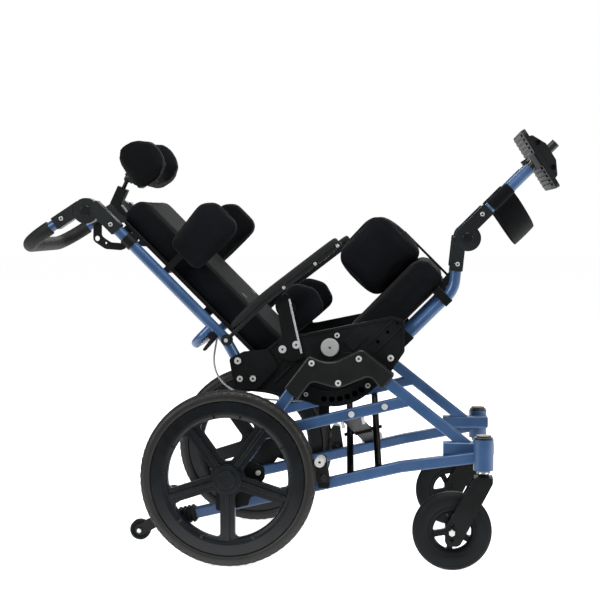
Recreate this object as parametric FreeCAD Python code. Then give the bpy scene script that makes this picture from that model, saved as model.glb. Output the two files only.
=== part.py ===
import FreeCAD, Part
import math
import os

V = FreeCAD.Vector
os.makedirs("parts", exist_ok=True)

# Frame: X forward, Y to the occupant's left, Z up, Z 0 on the floor, origin under the middle of the
# overall length. Base pieces are drawn with X from the tilt pivot, and seat pieces with X along the
# seat and Z square to it, both from the tilt pivot. Sizes are in millimetres.
PIVOT_X = 111.0
PIVOT_Z = 500.0
TILT_DEG = 45.0

# Rear wheels and casters
WHEEL_R = 203.0
AXLE_X = -230.0
WHEEL_Y = 266.0
TYRE_DEPTH = 27.0
RIM_R = WHEEL_R - TYRE_DEPTH
WINDOW_R = 139.0
HUB_R = 32.0
SPINDLE_R = 6.0
RUNNING = 0.05
CASTER_R = 90.0
CASTER_X = 281.0
STEM_X = 351.0
CASTER_Y = 258.0
HOUSING_R = 23.0
HOUSING_LOW = 229.0
HOUSING_HIGH = 299.0
STEM_R = 8.0
BEARING_R = 14.0

# Frame tubes
SQUARE = 25.0
SQUARE_CORNER = 4.0
WALL = 2.0
FRAME_Y = 222.0
FRAME_IN = FRAME_Y - SQUARE / 2
FRAME_OUT = FRAME_Y + SQUARE / 2
BRACKET_IN = FRAME_Y - 19.0
BRACKET_OUT = BRACKET_IN + 6.0
ARCH_BEND = 60.0
STUB_LOW = 258.0
STUB_HIGH = 288.0
LOWER_REAR = (-309.0, 114.0)
LOWER_KINK = (163.0, 228.0)
RAIL_SLOPE = (LOWER_KINK[1] - LOWER_REAR[1]) / (LOWER_KINK[0] - LOWER_REAR[0])
LOWER_FRONT = (335.0, 257.0)
AXLE_TUBE_R = 17.0
ROUND_R = 12.7
STUB_OUT = BRACKET_OUT + 31.0
STUB_WALL = 3.0

# Seat unit
ROCKER_IN = 188.0
ROCKER_OUT = 198.0
ROCKER_R = 140.0
LOCK_R = 122.0
LOCK_HOLE_R = 7.0
LOCK_FIRST = -142.0
LOCK_STEP = 8.64
LOCK_COUNT = 6
PIN_R = 9.0
DISC_R = 21.0
CANE_X = -162.0
CANE_Y = 190.0
LEG_Y = 165.0
LEG_Z = -31.0
HANGER_Z = -107.0
HUB_SIZE = 30.0
HUB_HALF = 15.0
KNEE = (400.0, -45.0)
KNEE_DEG = 219.0
KNEE_OFFSET = -19.3
KNEE_REACH = 78.0
SOCKET = 40.0
HANDLE_HUB = (-182.0, 626.0)
HANDLE_DEG = 168.0
HANDLE_OFFSET = 15.0
HANDLE_REACH = 172.0
ARM_Y = 217.0
ARM_PIVOT = (-157.0, 180.0)
PAN_Z = -77.0
CUSHION_Y = 165.0
BACK_Y = 150.0
POMMEL_HINGE = (312.0, -84.0)


# Placing and writing pieces

def base(shape):
    return shape.translated(V(PIVOT_X, 0, 0))


def seat(shape):
    turned = shape.copy()
    turned.rotate(V(0, 0, 0), V(0, 1, 0), -TILT_DEG)
    return turned.translated(V(PIVOT_X, 0, PIVOT_Z))


def mirrored(shape):
    return shape.mirror(V(0, 0, 0), V(0, 1, 0))


def both(shape):
    return [shape, mirrored(shape)]


def save(name, place, *shapes):
    solids = [solid for shape in shapes for solid in place(shape).Solids]
    whole = solids[0] if len(solids) == 1 else Part.makeCompound(solids)
    whole.exportStep("parts/%s.step" % name)


# Drawing tools

def bends(corners, closed):
    """Edges through (point, radius) corners, each corner an arc of its radius."""
    count = len(corners)
    arcs = []
    for i, (point, radius) in enumerate(corners):
        if radius <= 0 or (not closed and i in (0, count - 1)):
            arcs.append((point, point, point))
            continue
        back = (corners[i - 1][0] - point).normalize()
        ahead = (corners[(i + 1) % count][0] - point).normalize()
        half = back.getAngle(ahead) / 2
        cut = radius / math.tan(half)
        middle = point + (back + ahead).normalize() * (radius / math.sin(half) - radius)
        arcs.append((point + back * cut, middle, point + ahead * cut))
    edges = []
    for i, (start, middle, end) in enumerate(arcs):
        if (end - start).Length > 1e-6:
            edges.append(Part.Arc(start, middle, end).toShape())
        following = arcs[(i + 1) % count][0]
        if (closed or i < count - 1) and (following - end).Length > 1e-6:
            edges.append(Part.makeLine(end, following))
    return Part.Wire(edges)


def outline(points):
    return bends([(V(x, 0, z), radius) for x, z, radius in points], True)


def plate(points, y0, y1):
    """Flat plate of an (x, z, corner radius) outline between two Y faces."""
    face = Part.Face(outline(points))
    return face.extrude(V(0, y1 - y0, 0)).translated(V(0, y0, 0))


def disc(x, z, radius, y0, y1):
    return Part.makeCylinder(radius, y1 - y0, V(x, y0, z), V(0, 1, 0))


def post(x, y, radius, z0, z1):
    return Part.makeCylinder(radius, z1 - z0, V(x, y, z0))


def rod(start, end, radius):
    return Part.makeCylinder(radius, (end - start).Length, start, end - start)


def box(x0, x1, y0, y1, z0, z1):
    return Part.makeBox(x1 - x0, y1 - y0, z1 - z0, V(x0, y0, z0))


def softened(shape, radius):
    return shape.makeFillet(radius, shape.Edges)


def soft_plate(points, y0, y1, radius):
    """Plate with the edges of both faces rounded."""
    body = plate(points, y0, y1)
    across = [e for e in body.Edges if abs(e.Vertexes[0].Point.y - e.Vertexes[-1].Point.y) < 0.01]
    return body.makeFillet(radius, across)


def union(first, *others):
    return first.multiFuse(list(others)).removeSplitter()


def biggest(shape):
    return max(shape.Solids, key=lambda solid: solid.Volume)


def route(points, radius):
    return bends([(point, radius) for point in points], False)


def round_sweep(points, bend, radius):
    wire = route(points, bend)
    circle = Part.Wire(Part.makeCircle(radius, points[0], points[1] - points[0]))
    return wire.makePipeShell([circle], True, False)


def round_tube(points, bend, radius, wall):
    return round_sweep(points, bend, radius).cut(round_sweep(points, bend, radius - wall))


def square_sweep(points, bend, width, height, corner):
    """Solid of a rounded rectangle section along a route; a bend of 0 makes mitres."""
    along = (points[1] - points[0]).normalize()
    across = along.cross(V(0, 0, 1)).normalize()
    up = across.cross(along)
    corners = []
    for i, j in ((-1, -1), (1, -1), (1, 1), (-1, 1)):
        corners.append((points[0] + across * (i * width / 2) + up * (j * height / 2), corner))
    section = bends(corners, True)
    return route(points, bend).makePipeShell([section], True, False, 0 if bend else 1)


def square_tube(points, bend, side):
    inner = side - 2 * WALL
    outside = square_sweep(points, bend, side, side, SQUARE_CORNER)
    return outside.cut(square_sweep(points, bend, inner, inner, SQUARE_CORNER - WALL))


def ring(points):
    """Solid of revolution about the Y axis from (radius, y, chamfer) points."""
    corners = []
    count = len(points)
    for i, (radius, y, cut) in enumerate(points):
        here = V(radius, y, 0)
        if cut:
            for other in (points[i - 1], points[(i + 1) % count]):
                towards = (V(other[0], other[1], 0) - here).normalize()
                corners.append(here + towards * cut)
        else:
            corners.append(here)
    face = Part.Face(Part.makePolygon(corners + corners[:1]))
    return face.revolve(V(0, 0, 0), V(0, 1, 0), 360)


def flat(x, z, y=0.0):
    return V(x, y, z)


# Base frame

def arch_points():
    corners = [(AXLE_X, WHEEL_R), (-58, 442), (88, 458), (330, 267)]
    return [flat(x, z, FRAME_Y) for x, z in corners]


def arch_solid(side):
    return square_sweep(arch_points(), ARCH_BEND, side, side, SQUARE_CORNER)


def stub_solid():
    stub = box(260, 374, BRACKET_OUT, STUB_OUT, STUB_LOW, STUB_HIGH)
    along_x = [e for e in stub.Edges if abs(e.tangentAt(e.FirstParameter).x) > 0.9]
    return stub.makeFillet(5, along_x)


def arch_tube():
    tube = square_tube(arch_points(), ARCH_BEND, SQUARE)
    below = box(200, 420, 150, 300, 150, STUB_HIGH)
    return biggest(tube.cut(below).cut(disc(AXLE_X, WHEEL_R, AXLE_TUBE_R, 150, 300)))


def rail_z(x):
    return 318 + (x + 77) * RAIL_SLOPE


def upper_rail():
    ends = [flat(x, rail_z(x), FRAME_Y) for x in (-180, 260)]
    return biggest(square_tube(ends, 0, SQUARE).cut(arch_solid(SQUARE)).cut(base_shanks()))


def lower_points():
    front_y = CASTER_Y - 6
    return [flat(*LOWER_REAR, FRAME_Y), flat(*LOWER_KINK, FRAME_Y), flat(*LOWER_FRONT, front_y)]


def lower_rail_z(x):
    return LOWER_KINK[1] + (x - LOWER_KINK[0]) * RAIL_SLOPE


def housing_solid():
    return post(STEM_X, CASTER_Y, HOUSING_R, HOUSING_LOW, HOUSING_HIGH)


def lower_rail():
    tube = square_tube(lower_points(), 0, SQUARE)
    return biggest(tube.cut(housing_solid()).cut(stub_solid()))


def stub_cavity(x0, x1):
    """Hollow of the stub tube, whose outer wall is thick where the housing is welded on."""
    return box(x0, x1, BRACKET_OUT + STUB_WALL, STUB_OUT - 3 * STUB_WALL, STUB_LOW + STUB_WALL,
               STUB_HIGH - STUB_WALL)


def caster_housing():
    shell = housing_solid().fuse(stub_solid())
    bore = post(STEM_X, CASTER_Y, BEARING_R, HOUSING_LOW, HOUSING_HIGH)
    return shell.cut(bore).cut(stub_cavity(260, 374))


def axle_plate():
    points = [(-262, 120, 8), (-262, 224, 16), (-206, 244, 16), (-148, 226, 14), (-148, 200, 10),
              (-186, 146, 20), (-186, 136, 5)]
    body = plate(points, FRAME_OUT, FRAME_OUT + 6)
    return body.cut(disc(AXLE_X, WHEEL_R, AXLE_TUBE_R, 150, 300)).cut(base_shanks())


def lock_lug():
    """Lug on the outside of the lower rail that carries the wheel lock's pin."""
    x, z = LOCK_PIN
    low = lower_rail_z(x) - LUG_LAP
    points = [(x - LUG_HALF, low, 4), (x + LUG_HALF, low, 4), (x + LUG_HALF, z + 10, 10),
              (x - LUG_HALF, z + 10, 10)]
    return plate(points, FRAME_OUT, FRAME_OUT + 3).cut(disc(*LOCK_PIN, 4, 200, 260))


COVER_SCREWS = [(-40, 466), (68, 477), (21, 421)]
PEG_R = 11.5
PEG_GAP = 1.6
PEG_TURN = math.radians(11.2)
PEG_REACH = WHEEL_R + PEG_GAP + PEG_R
PEG = (AXLE_X + PEG_REACH * math.cos(PEG_TURN), WHEEL_R + PEG_REACH * math.sin(PEG_TURN))
LOCK_PIN = (PEG[0] + 6, PEG[1] - 41)
LUG_HALF = 13.0
LUG_LAP = 7.7


def base_bolts_at():
    """Bolts of the base: X, Z, outer face Y, head radius, shank radius, shank length."""
    rail = [(x, rail_z(x), FRAME_OUT, 7, 3, WALL) for x in (51, 127)]
    axle = [(x, z, FRAME_OUT + 6, 6, 3, 6) for x, z in ((-163, 212), (-222, 135))]
    return rail + axle


def base_shanks():
    return Part.makeCompound([disc(x, z, shank, y - length, y)
                              for x, z, y, _, shank, length in base_bolts_at()])


def pivot_bracket():
    points = [(-18, 519, 17), (18, 519, 17), (24, 488, 10), (84, 488, 8), (84, 462, 8), (40, 412, 8),
              (0, 412, 8), (-54, 450, 8), (-54, 476, 8), (-24, 486, 10)]
    body = plate(points, BRACKET_IN, BRACKET_OUT)
    posts = [disc(x, z, 6, BRACKET_OUT, 236.5) for x, z in COVER_SCREWS]
    bores = [disc(x, z, 3, BRACKET_OUT, 300) for x, z in COVER_SCREWS]
    body = union(body, *posts)
    return body.cut(Part.makeCompound(bores)).cut(disc(0, PIVOT_Z, PIN_R + RUNNING, 150, 300))


def pivot_cover():
    points = [(-47, 483, 8), (2, 463, 60), (75, 500, 16), (150, 440, 6), (120, 405, 6), (93, 438, 20),
              (21, 406, 60), (-40, 424, 18), (-73, 380, 6), (-104, 409, 6)]
    outside = plate(points, BRACKET_OUT, 240)
    rim = [e for e in outside.Edges if abs(e.CenterOfMass.y - 240) < 0.01]
    outside = outside.makeFillet(5, rim)
    inside = Part.Face(outline(points)).makeOffset2D(-3)
    cavity = inside.extrude(V(0, 237 - BRACKET_OUT, 0)).translated(V(0, BRACKET_OUT, 0))
    holes = [disc(x, z, 3.2, 230, 245) for x, z in COVER_SCREWS]
    shell = outside.cut(cavity).cut(arch_solid(SQUARE + 1.5))
    return biggest(shell.cut(Part.makeCompound(holes)))


def rear_axle_tube():
    length = FRAME_OUT + 6
    return disc(AXLE_X, WHEEL_R, AXLE_TUBE_R, -length, length).cut(
        disc(AXLE_X, WHEEL_R, AXLE_TUBE_R - 3, -length, length))


def rear_spindle():
    plug = disc(AXLE_X, WHEEL_R, AXLE_TUBE_R - 3, 190, FRAME_OUT + 6)
    return plug.fuse(disc(AXLE_X, WHEEL_R, SPINDLE_R, 200, WHEEL_Y + 21))


def rail_point(along, y, up):
    """A point in the slanted frame of the rails: along them, across, and square to the lower rail."""
    slope = math.atan(RAIL_SLOPE)
    start = V(51, 0, lower_rail_z(51))
    return start + V(math.cos(slope), 0, math.sin(slope)) * along + V(
        -math.sin(slope), 0, math.cos(slope)) * up + V(0, y, 0)


BRACE_LOW = SQUARE / 2
RAIL_GAP = (rail_z(0) - lower_rail_z(0)) * math.cos(math.atan(RAIL_SLOPE))
BRACE_HIGH = RAIL_GAP - SQUARE / 2
BRACE_TUBE_R = 8.0
BRACE_GAP = 66.0
BRACE_PLATE = (12.0, 54.0)
BRACE_BOLT_R = 4.0


def on_rails(shape):
    """Turns a shape drawn level to lie along the rails."""
    turned = shape.copy()
    turned.rotate(V(0, 0, 0), V(0, 1, 0), -math.degrees(math.atan(RAIL_SLOPE)))
    return turned


def between_rails(shape):
    """Cuts a brace piece flat where it meets the rails."""
    for level in (BRACE_LOW - 40, BRACE_HIGH):
        slab = Part.makeBox(300, 700, 40, V(-100, -350, 0))
        shape = shape.cut(on_rails(slab).translated(rail_point(0, 0, level)))
    return shape


def brace_bolt():
    centre = (BRACE_LOW + BRACE_HIGH) / 2
    return rod(rail_point(-14, 0, centre), rail_point(BRACE_GAP + 14, 0, centre), BRACE_BOLT_R)


def brace_tube(along):
    """A brace tube from the lower right rail up to the upper left rail."""
    low = rail_point(along, -FRAME_Y - 4, BRACE_LOW - 2)
    high = rail_point(along, FRAME_Y + 4, BRACE_HIGH + 2)
    return between_rails(rod(low, high, BRACE_TUBE_R)).cut(brace_bolt())


def brace_plate():
    """Plate arm from the lower left rail up to the upper right rail, with a barrel for the bolt."""
    start, end = BRACE_PLATE
    drop = (BRACE_HIGH - BRACE_LOW) / (2 * FRAME_Y)
    corners = []
    for y, lift in ((FRAME_Y, -2), (-FRAME_Y, -2), (-FRAME_Y, 2), (FRAME_Y, 2)):
        corners.append(rail_point(start, y, BRACE_LOW + (FRAME_Y - y) * drop + lift))
    face = Part.Face(Part.makePolygon(corners + corners[:1]))
    arm = face.extrude(rail_point(end, 0, 0) - rail_point(start, 0, 0))
    centre = (BRACE_LOW + BRACE_HIGH) / 2
    barrel = rod(rail_point(start, 0, centre), rail_point(end, 0, centre), BRACE_BOLT_R + 4)
    return between_rails(union(arm, barrel)).cut(brace_bolt())


def brace_lugs():
    """Lugs beside the plate arm, under the upper right rail and on the lower left rail."""
    shapes = []
    for along in (BRACE_PLATE[0] - 6, BRACE_PLATE[1]):
        for y, level in ((-FRAME_Y, BRACE_HIGH - 16), (FRAME_Y, BRACE_LOW)):
            lug = on_rails(Part.makeBox(6, 20, 16))
            shapes.append(lug.translated(rail_point(along, y - 10, level)))
    return shapes


def anti_tip_arm():
    """Ribbed sleeve on the rear end of the lower rail, with the arm and fork of the small wheel."""
    rear = flat(*LOWER_REAR, FRAME_Y)
    back = V(-1, 0, -RAIL_SLOPE).normalize()
    body = square_sweep([rear, rear + back * 46], 0, 30, 30, 3)
    for step in (4, 14, 24, 34):
        rib = square_sweep([rear + back * step, rear + back * (step + 5)], 0, 37, 37, 4)
        body = body.fuse(rib)
    plug = square_sweep([rear - back * 30, rear], 0, SQUARE - 2 * WALL, SQUARE - 2 * WALL, 2)
    arm = rod(rear + back * 44, flat(-410, 90, FRAME_Y), 8)
    crown = box(-416, -402, FRAME_Y - 14, FRAME_Y + 14, 80, 99)
    cheek = plate([(-452, 62, 9), (-432, 62, 9), (-402, 80, 3), (-402, 99, 3), (-416, 99, 3),
                   (-452, 82, 9)], FRAME_Y + 11, FRAME_Y + 14)
    other = cheek.translated(V(0, -25, 0))
    pin = disc(-442, 72, 4, FRAME_Y - 16, FRAME_Y + 16)
    gap = disc(-442, 72, 27, FRAME_Y - 11, FRAME_Y + 11)
    return union(body, plug, arm, crown.cut(gap), cheek, other, pin)


def anti_tip_wheel():
    body = ring([(4 + RUNNING, -9, 0), (24, -9, 3), (24, 9, 3), (4 + RUNNING, 9, 0)])
    dish = ring([(8, 6, 0), (17, 6, 0), (17, 10, 0), (8, 10, 0)])
    return body.cut(dish).translated(V(-442, FRAME_Y, 72))


def tilt_lock():
    """Plunger housing on a foot that reaches in under the rocker plate from the upper rail."""
    x = -16
    level = rail_z(x)
    foot = box(x - 14, x + 14, 172, FRAME_IN, level - 2, level + 6)
    upright = box(x - 12, x + 12, 172, 178, level + 6, 376)
    barrel = disc(x, 379, 13, 164, 185.5)
    plunger = disc(x, 379, 5, 156, 187)
    return union(foot, upright, barrel, plunger)


def wheel_lock():
    """Peg on an arm that swings on the lower rail, just clear of the tyre."""
    x, z = PEG
    inner, outer = FRAME_OUT + 3.5, WHEEL_Y + 19
    arm = plate([(x - 12, z - 53, 8), (x + 22, z - 53, 8), (x + 12, z + 11, 8), (x - 10, z + 11, 8)],
                inner, inner + 6)
    peg = disc(x, z, PEG_R, inner, outer)
    bore = disc(x, z, 3, outer - 15, outer)
    pivot = disc(*LOCK_PIN, 4 + RUNNING, 230, 250)
    return union(arm, peg).cut(bore).cut(pivot)


def screw(x, z, y, head, shank, length):
    """Button head on the outside at y, shank inwards."""
    return disc(x, z, head, y, y + 3.5).fuse(disc(x, z, shank, y - length, y)).removeSplitter()


def caster_cap():
    low = HOUSING_HIGH
    return union(post(STEM_X, CASTER_Y, 21, low, low + 5), post(STEM_X, CASTER_Y, 17, low + 5, low + 9))


def caster_bearing(low):
    return post(STEM_X, CASTER_Y, BEARING_R, low, low + 10).cut(
        post(STEM_X, CASTER_Y, STEM_R + RUNNING, low, low + 10))


def base_fittings():
    screws = [screw(x, z, 240, 7, 3, 14) for x, z in COVER_SCREWS]
    bolts = [screw(*bolt) for bolt in base_bolts_at()]
    pin = union(disc(*LOCK_PIN, 4, FRAME_OUT, 245), disc(*LOCK_PIN, 7, 245, 248))
    return screws + bolts + [pin, caster_cap(), stub_cavity(260, 264), stub_cavity(370, 376)]


# Wheels

def rear_wheel():
    """Five-spoke casting about its own centre, outside towards +Y."""
    spokes = [54, 126, 198, 270, 342]
    body = ring([(WINDOW_R, -13, 3), (150, -15, 3), (RIM_R, -15, 0), (RIM_R, 15, 0), (150, 15, 3),
                 (WINDOW_R, 11, 3)])
    web = disc(0, 0, WINDOW_R + 4, -6, 8)
    half_width = 17.0
    for angle in spokes:
        first, second = math.radians(angle), math.radians(angle + 72)
        middle = math.radians(angle + 36)
        apex = half_width / math.sin(math.radians(36))
        start = V(math.cos(middle), 0, math.sin(middle)) * apex
        far = 220.0
        corners = [start, start + V(math.cos(first), 0, math.sin(first)) * far,
                   start + V(math.cos(second), 0, math.sin(second)) * far]
        wedge = Part.Face(Part.makePolygon(corners + corners[:1])).extrude(V(0, 60, 0))
        wedge = wedge.translated(V(0, -30, 0))
        window = wedge.common(disc(0, 0, WINDOW_R, -30, 30).cut(disc(0, 0, HUB_R + 8, -30, 30)))
        sides = [e for e in window.Edges if abs(e.tangentAt(e.FirstParameter).y) > 0.9]
        web = web.cut(window.makeFillet(11, sides))
    extras = [disc(0, 0, HUB_R, -24, 23), disc(0, 0, 19.5, 23, 27)]
    for angle in spokes:
        rib = Part.makeBox(WINDOW_R + 5 - HUB_R, 6, 8, V(HUB_R - 2, 8, -4))
        rib.rotate(V(0, 0, 0), V(0, 1, 0), -angle)
        extras.append(rib)
        for side in (24, 48):
            tick = Part.makeBox(9, 4, 5, V(WINDOW_R + 2, 11, -2.5))
            tick.rotate(V(0, 0, 0), V(0, 1, 0), -angle - side)
            extras.append(tick)
    return union(body, web, *extras).cut(disc(0, 0, SPINDLE_R + RUNNING, -30, 22))


def rear_tyre():
    wide, shoulder = RIM_R + 0.4 * TYRE_DEPTH, WHEEL_R - 0.19 * TYRE_DEPTH
    return ring([(RIM_R, -15, 0), (wide, -19, 3), (shoulder, -17, 3), (WHEEL_R, -8, 3), (WHEEL_R, 8, 3),
                 (shoulder, 17, 3), (wide, 19, 3), (RIM_R, 15, 0)])


def caster_hub():
    body = union(disc(0, 0, 62, -9, 9), disc(0, 0, 14, -17, 17))
    for step in range(5):
        angle = math.radians(54 + 72 * step)
        body = body.cut(disc(37 * math.cos(angle), 37 * math.sin(angle), 13, -20, 20))
    return body.cut(disc(0, 0, 5 + RUNNING, -20, 20))


def caster_tyre():
    return ring([(62, -12, 0), (70, -14, 3), (83, -13, 5), (CASTER_R, -5, 5), (CASTER_R, 5, 5),
                 (83, 13, 5), (70, 14, 3), (62, 12, 0)])


def caster_fork():
    leg = [(330, 214, 2), (372, 214, 2), (372, 202, 10), (298, 58, 15), (265, 58, 15), (265, 100, 15)]
    outer = plate(leg, CASTER_Y + 20, CASTER_Y + 25)
    inner = plate(leg, CASTER_Y - 25, CASTER_Y - 20)
    holes = [disc(CASTER_X, z, 5, 200, 320) for z in (CASTER_R - 16, CASTER_R, CASTER_R + 16)]
    top = box(330, 372, CASTER_Y - 25, CASTER_Y + 25, 208, 214)
    collar = post(STEM_X, CASTER_Y, 13, 214, HOUSING_LOW - 0.5)
    stem = post(STEM_X, CASTER_Y, STEM_R, 214, HOUSING_HIGH - 1)
    return union(outer, inner, top, collar, stem).cut(Part.makeCompound(holes))


def caster_axle():
    shaft = disc(CASTER_X, CASTER_R, 5, CASTER_Y - 30, CASTER_Y + 30)
    heads = [disc(CASTER_X, CASTER_R, 8, CASTER_Y + y, CASTER_Y + y + 5) for y in (-30, 25)]
    return union(shaft, *heads)


# Seat frame

def seat_bolts_at():
    """Bolts of the seat unit: X, Z, outer face Y, head radius, shank radius, shank length."""
    return [(-175, 128, 207, 8, 4, 30), (-201, 95, 207, 7, 3.5, 19), (-179, 74, 207, 7, 3.5, 19),
            (-82, 74, ROCKER_OUT + 7, 9, 4, 16), (-52, 59, ROCKER_OUT + 7, 9, 4, 16),
            (81, -116, ROCKER_OUT, 7.5, 4, 9), (-1, -124, ROCKER_OUT, 6, 3, 9),
            (-118, -38, ROCKER_OUT, 5, 3, 9), (30, 8, ROCKER_OUT, 6, 3, 9)]


def seat_shanks():
    return Part.makeCompound([disc(x, z, shank, y - length, y)
                              for x, z, y, _, shank, length in seat_bolts_at()])


def rocker_plate():
    """Moulded side plate with the arc of tilt holes below and the back wing behind."""
    arc = []
    for angle in (-85, -105, -125, -145, -162):
        turn = math.radians(angle)
        arc.append((ROCKER_R * math.cos(turn), ROCKER_R * math.sin(turn), 100))
    points = [(-22, 64, 6), (150, -49, 14), (166, -76, 12), (114, -128, 10), (62, -138, 20)] + arc + [
        (-184, 32, 20), (-222, 78, 12), (-208, 108, 8), (-150, 104, 8), (-60, 96, 20)]
    body = plate(points, ROCKER_IN, ROCKER_OUT)
    cuts = []
    for step in range(LOCK_COUNT):
        turn = math.radians(LOCK_FIRST + LOCK_STEP * step)
        cuts.append(disc(LOCK_R * math.cos(turn), LOCK_R * math.sin(turn), LOCK_HOLE_R, 180, 210))
    for x in (86, 118, 149):
        cuts.append(disc(x, -69, 5, 180, 210))
    cuts.append(disc(0, 0, PIN_R, 180, 210))
    rim_in = plate(points, ROCKER_OUT - 1, ROCKER_OUT + 3)
    inner = Part.Face(outline(points)).makeOffset2D(-5)
    rim = rim_in.cut(inner.extrude(V(0, 20, 0)).translated(V(0, ROCKER_OUT - 5, 0)))
    groove = ring([(101, ROCKER_OUT - 1, 0), (105, ROCKER_OUT - 1, 0), (105, ROCKER_OUT + 2, 0),
                   (101, ROCKER_OUT + 2, 0)]).common(plate(points, 150, 250)).common(
        box(-140, 0, 150, 250, -140, -20))
    ribs = [box(66, 152, ROCKER_OUT - 1, ROCKER_OUT + 2, z, z + 3) for z in (-58, -83)]
    ribs.append(box(30, 80, ROCKER_OUT - 1, ROCKER_OUT + 2, -44, -14))
    ribs.append(box(-150, -96, ROCKER_OUT - 1, ROCKER_OUT + 2, 30, 34))
    ribs.append(box(-150, -96, ROCKER_OUT - 1, ROCKER_OUT + 2, 56, 60))
    keep = plate(points, 150, 250)
    ribs = [rib.common(keep) for rib in ribs]
    whole = union(body, rim, groove, *ribs)
    return whole.cut(Part.makeCompound(cuts)).cut(seat_shanks())


def tilt_pivot():
    face = disc(0, 0, DISC_R, BRACKET_OUT + 1, BRACKET_OUT + 9)
    edge = [e for e in face.Edges if abs(e.CenterOfMass.y - BRACKET_OUT - 9) < 0.01]
    face = face.makeChamfer(1.5, edge)
    pin = disc(0, 0, PIN_R, ROCKER_IN - 6, BRACKET_OUT + 2)
    flange = disc(0, 0, 16, ROCKER_IN - 6, ROCKER_IN)
    return union(face, pin, flange).cut(disc(0, 0, 3, BRACKET_OUT + 6, BRACKET_OUT + 12))


def seat_pan():
    """Pan with tabs to the rocker plates and the two cross tubes between them."""
    half = CUSHION_Y - 7
    body = box(-75, 288, -half, half, PAN_Z, PAN_Z + 4)
    for x0, x1 in ((-58, -30), (20, 52)):
        body = body.fuse(box(x0, x1, -ROCKER_IN, ROCKER_IN, PAN_Z, PAN_Z + 4))
    return body.removeSplitter()


def cross_tube(x, z):
    return disc(x, z, 10, -ROCKER_IN, ROCKER_IN).cut(disc(x, z, 8, -ROCKER_IN, ROCKER_IN))


def cane_points():
    return [flat(x, z, CANE_Y) for x, z in ((CANE_X, 582), (CANE_X, 186), (-181, 116))]


def back_cane():
    return round_tube(cane_points(), 70, ROUND_R, WALL).cut(seat_shanks())


BAR_Z = 228.0
BAR_R = 11.0


def back_bar():
    points = [flat(CANE_X, BAR_Z, CANE_Y), flat(-224, BAR_Z, CANE_Y), flat(-224, BAR_Z, -CANE_Y),
              flat(CANE_X, BAR_Z, -CANE_Y)]
    tube = round_tube(points, 36, BAR_R, WALL)
    for cane in both(round_sweep(cane_points(), 70, ROUND_R)):
        tube = tube.cut(cane)
    return biggest(tube)


def back_shell():
    body = box(-146, -138, -160, 160, 60, 556)
    upright = [e for e in body.Edges if abs(e.tangentAt(e.FirstParameter).x) > 0.9]
    return body.makeFillet(30, upright)


def angle_plate():
    points = [(-186, 146, 8), (-150, 134, 10), (-106, 98, 10), (-118, 52, 14), (-190, 50, 12),
              (-228, 86, 10)]
    return plate(points, BRACKET_IN, 207).cut(seat_shanks())


def angle_spacer(x, z):
    return disc(x, z, 6, ROCKER_OUT, BRACKET_IN).cut(seat_shanks())


def hip_bar():
    """Flat bar up from the rocker plate, its foot wide enough for two bolts, with the pad's block."""
    points = [(-100, 64, 8), (-74, 96, 10), (-62, 96, 4), (-8, 172, 6), (18, 156, 6), (-64, 26, 8),
              (-84, 36, 8)]
    body = plate(points, ROCKER_OUT + 3, ROCKER_OUT + 7)
    foot = [disc(x, z, 8, ROCKER_OUT, ROCKER_OUT + 3) for x, z in ((-82, 74), (-52, 59))]
    block = disc(-4, 128, 12, 171.5, ROCKER_OUT + 3)
    return union(body, block, *foot).cut(seat_shanks())


def lateral_bar():
    """Flat bar from the back of the shell round to the outside of the side pad."""
    back = box(-151, -146, 100, 188, 388, 404)
    side = box(-151, 6, 184, 188, 388, 404)
    return biggest(back.fuse(side).removeSplitter().cut(round_sweep(cane_points(), 70, ROUND_R)))


def shell_clip(z):
    return box(-152, -146, 150, 158, z, z + 22).fuse(box(-158, -152, 150, 178.5, z, z + 22)).cut(
        round_sweep(cane_points(), 70, ROUND_R)).removeSplitter()


def hanger_clamp():
    body = box(118, 150, 170, ROCKER_IN, HANGER_Z - 14, HANGER_Z + 14)
    return body.cut(round_sweep(hanger_points(), 60, ROUND_R))


def front_block():
    body = box(254, 274, 140, 180, HANGER_Z - 15, PAN_Z)
    return body.cut(round_sweep(hanger_points(), 60, ROUND_R))


def pommel_clevis():
    x, z = POMMEL_HINGE
    cheek = plate([(270, PAN_Z, 2), (270, z - 10, 6), (x + 10, z - 10, 9), (x + 10, z + 10, 9),
                   (x - 16, PAN_Z, 2)], 26, 31)
    pin = disc(x, z, 5, -31, 31)
    return union(pin, *both(cheek))


def hanger_points():
    turn = math.radians(KNEE_DEG)
    along = V(math.cos(turn), 0, math.sin(turn))
    side = V(-math.sin(turn), 0, math.cos(turn))
    axis = flat(*KNEE, LEG_Y) + side * KNEE_OFFSET
    bend = axis + along * ((HANGER_Z - axis.z) / along.z)
    return [flat(112, HANGER_Z, LEG_Y), bend, axis + along * (KNEE_REACH - SOCKET)]


def leg_hanger():
    return round_tube(hanger_points(), 60, ROUND_R, WALL)


# Hinges of the push handle and the knees: two halves that face each other, and a button

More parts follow.
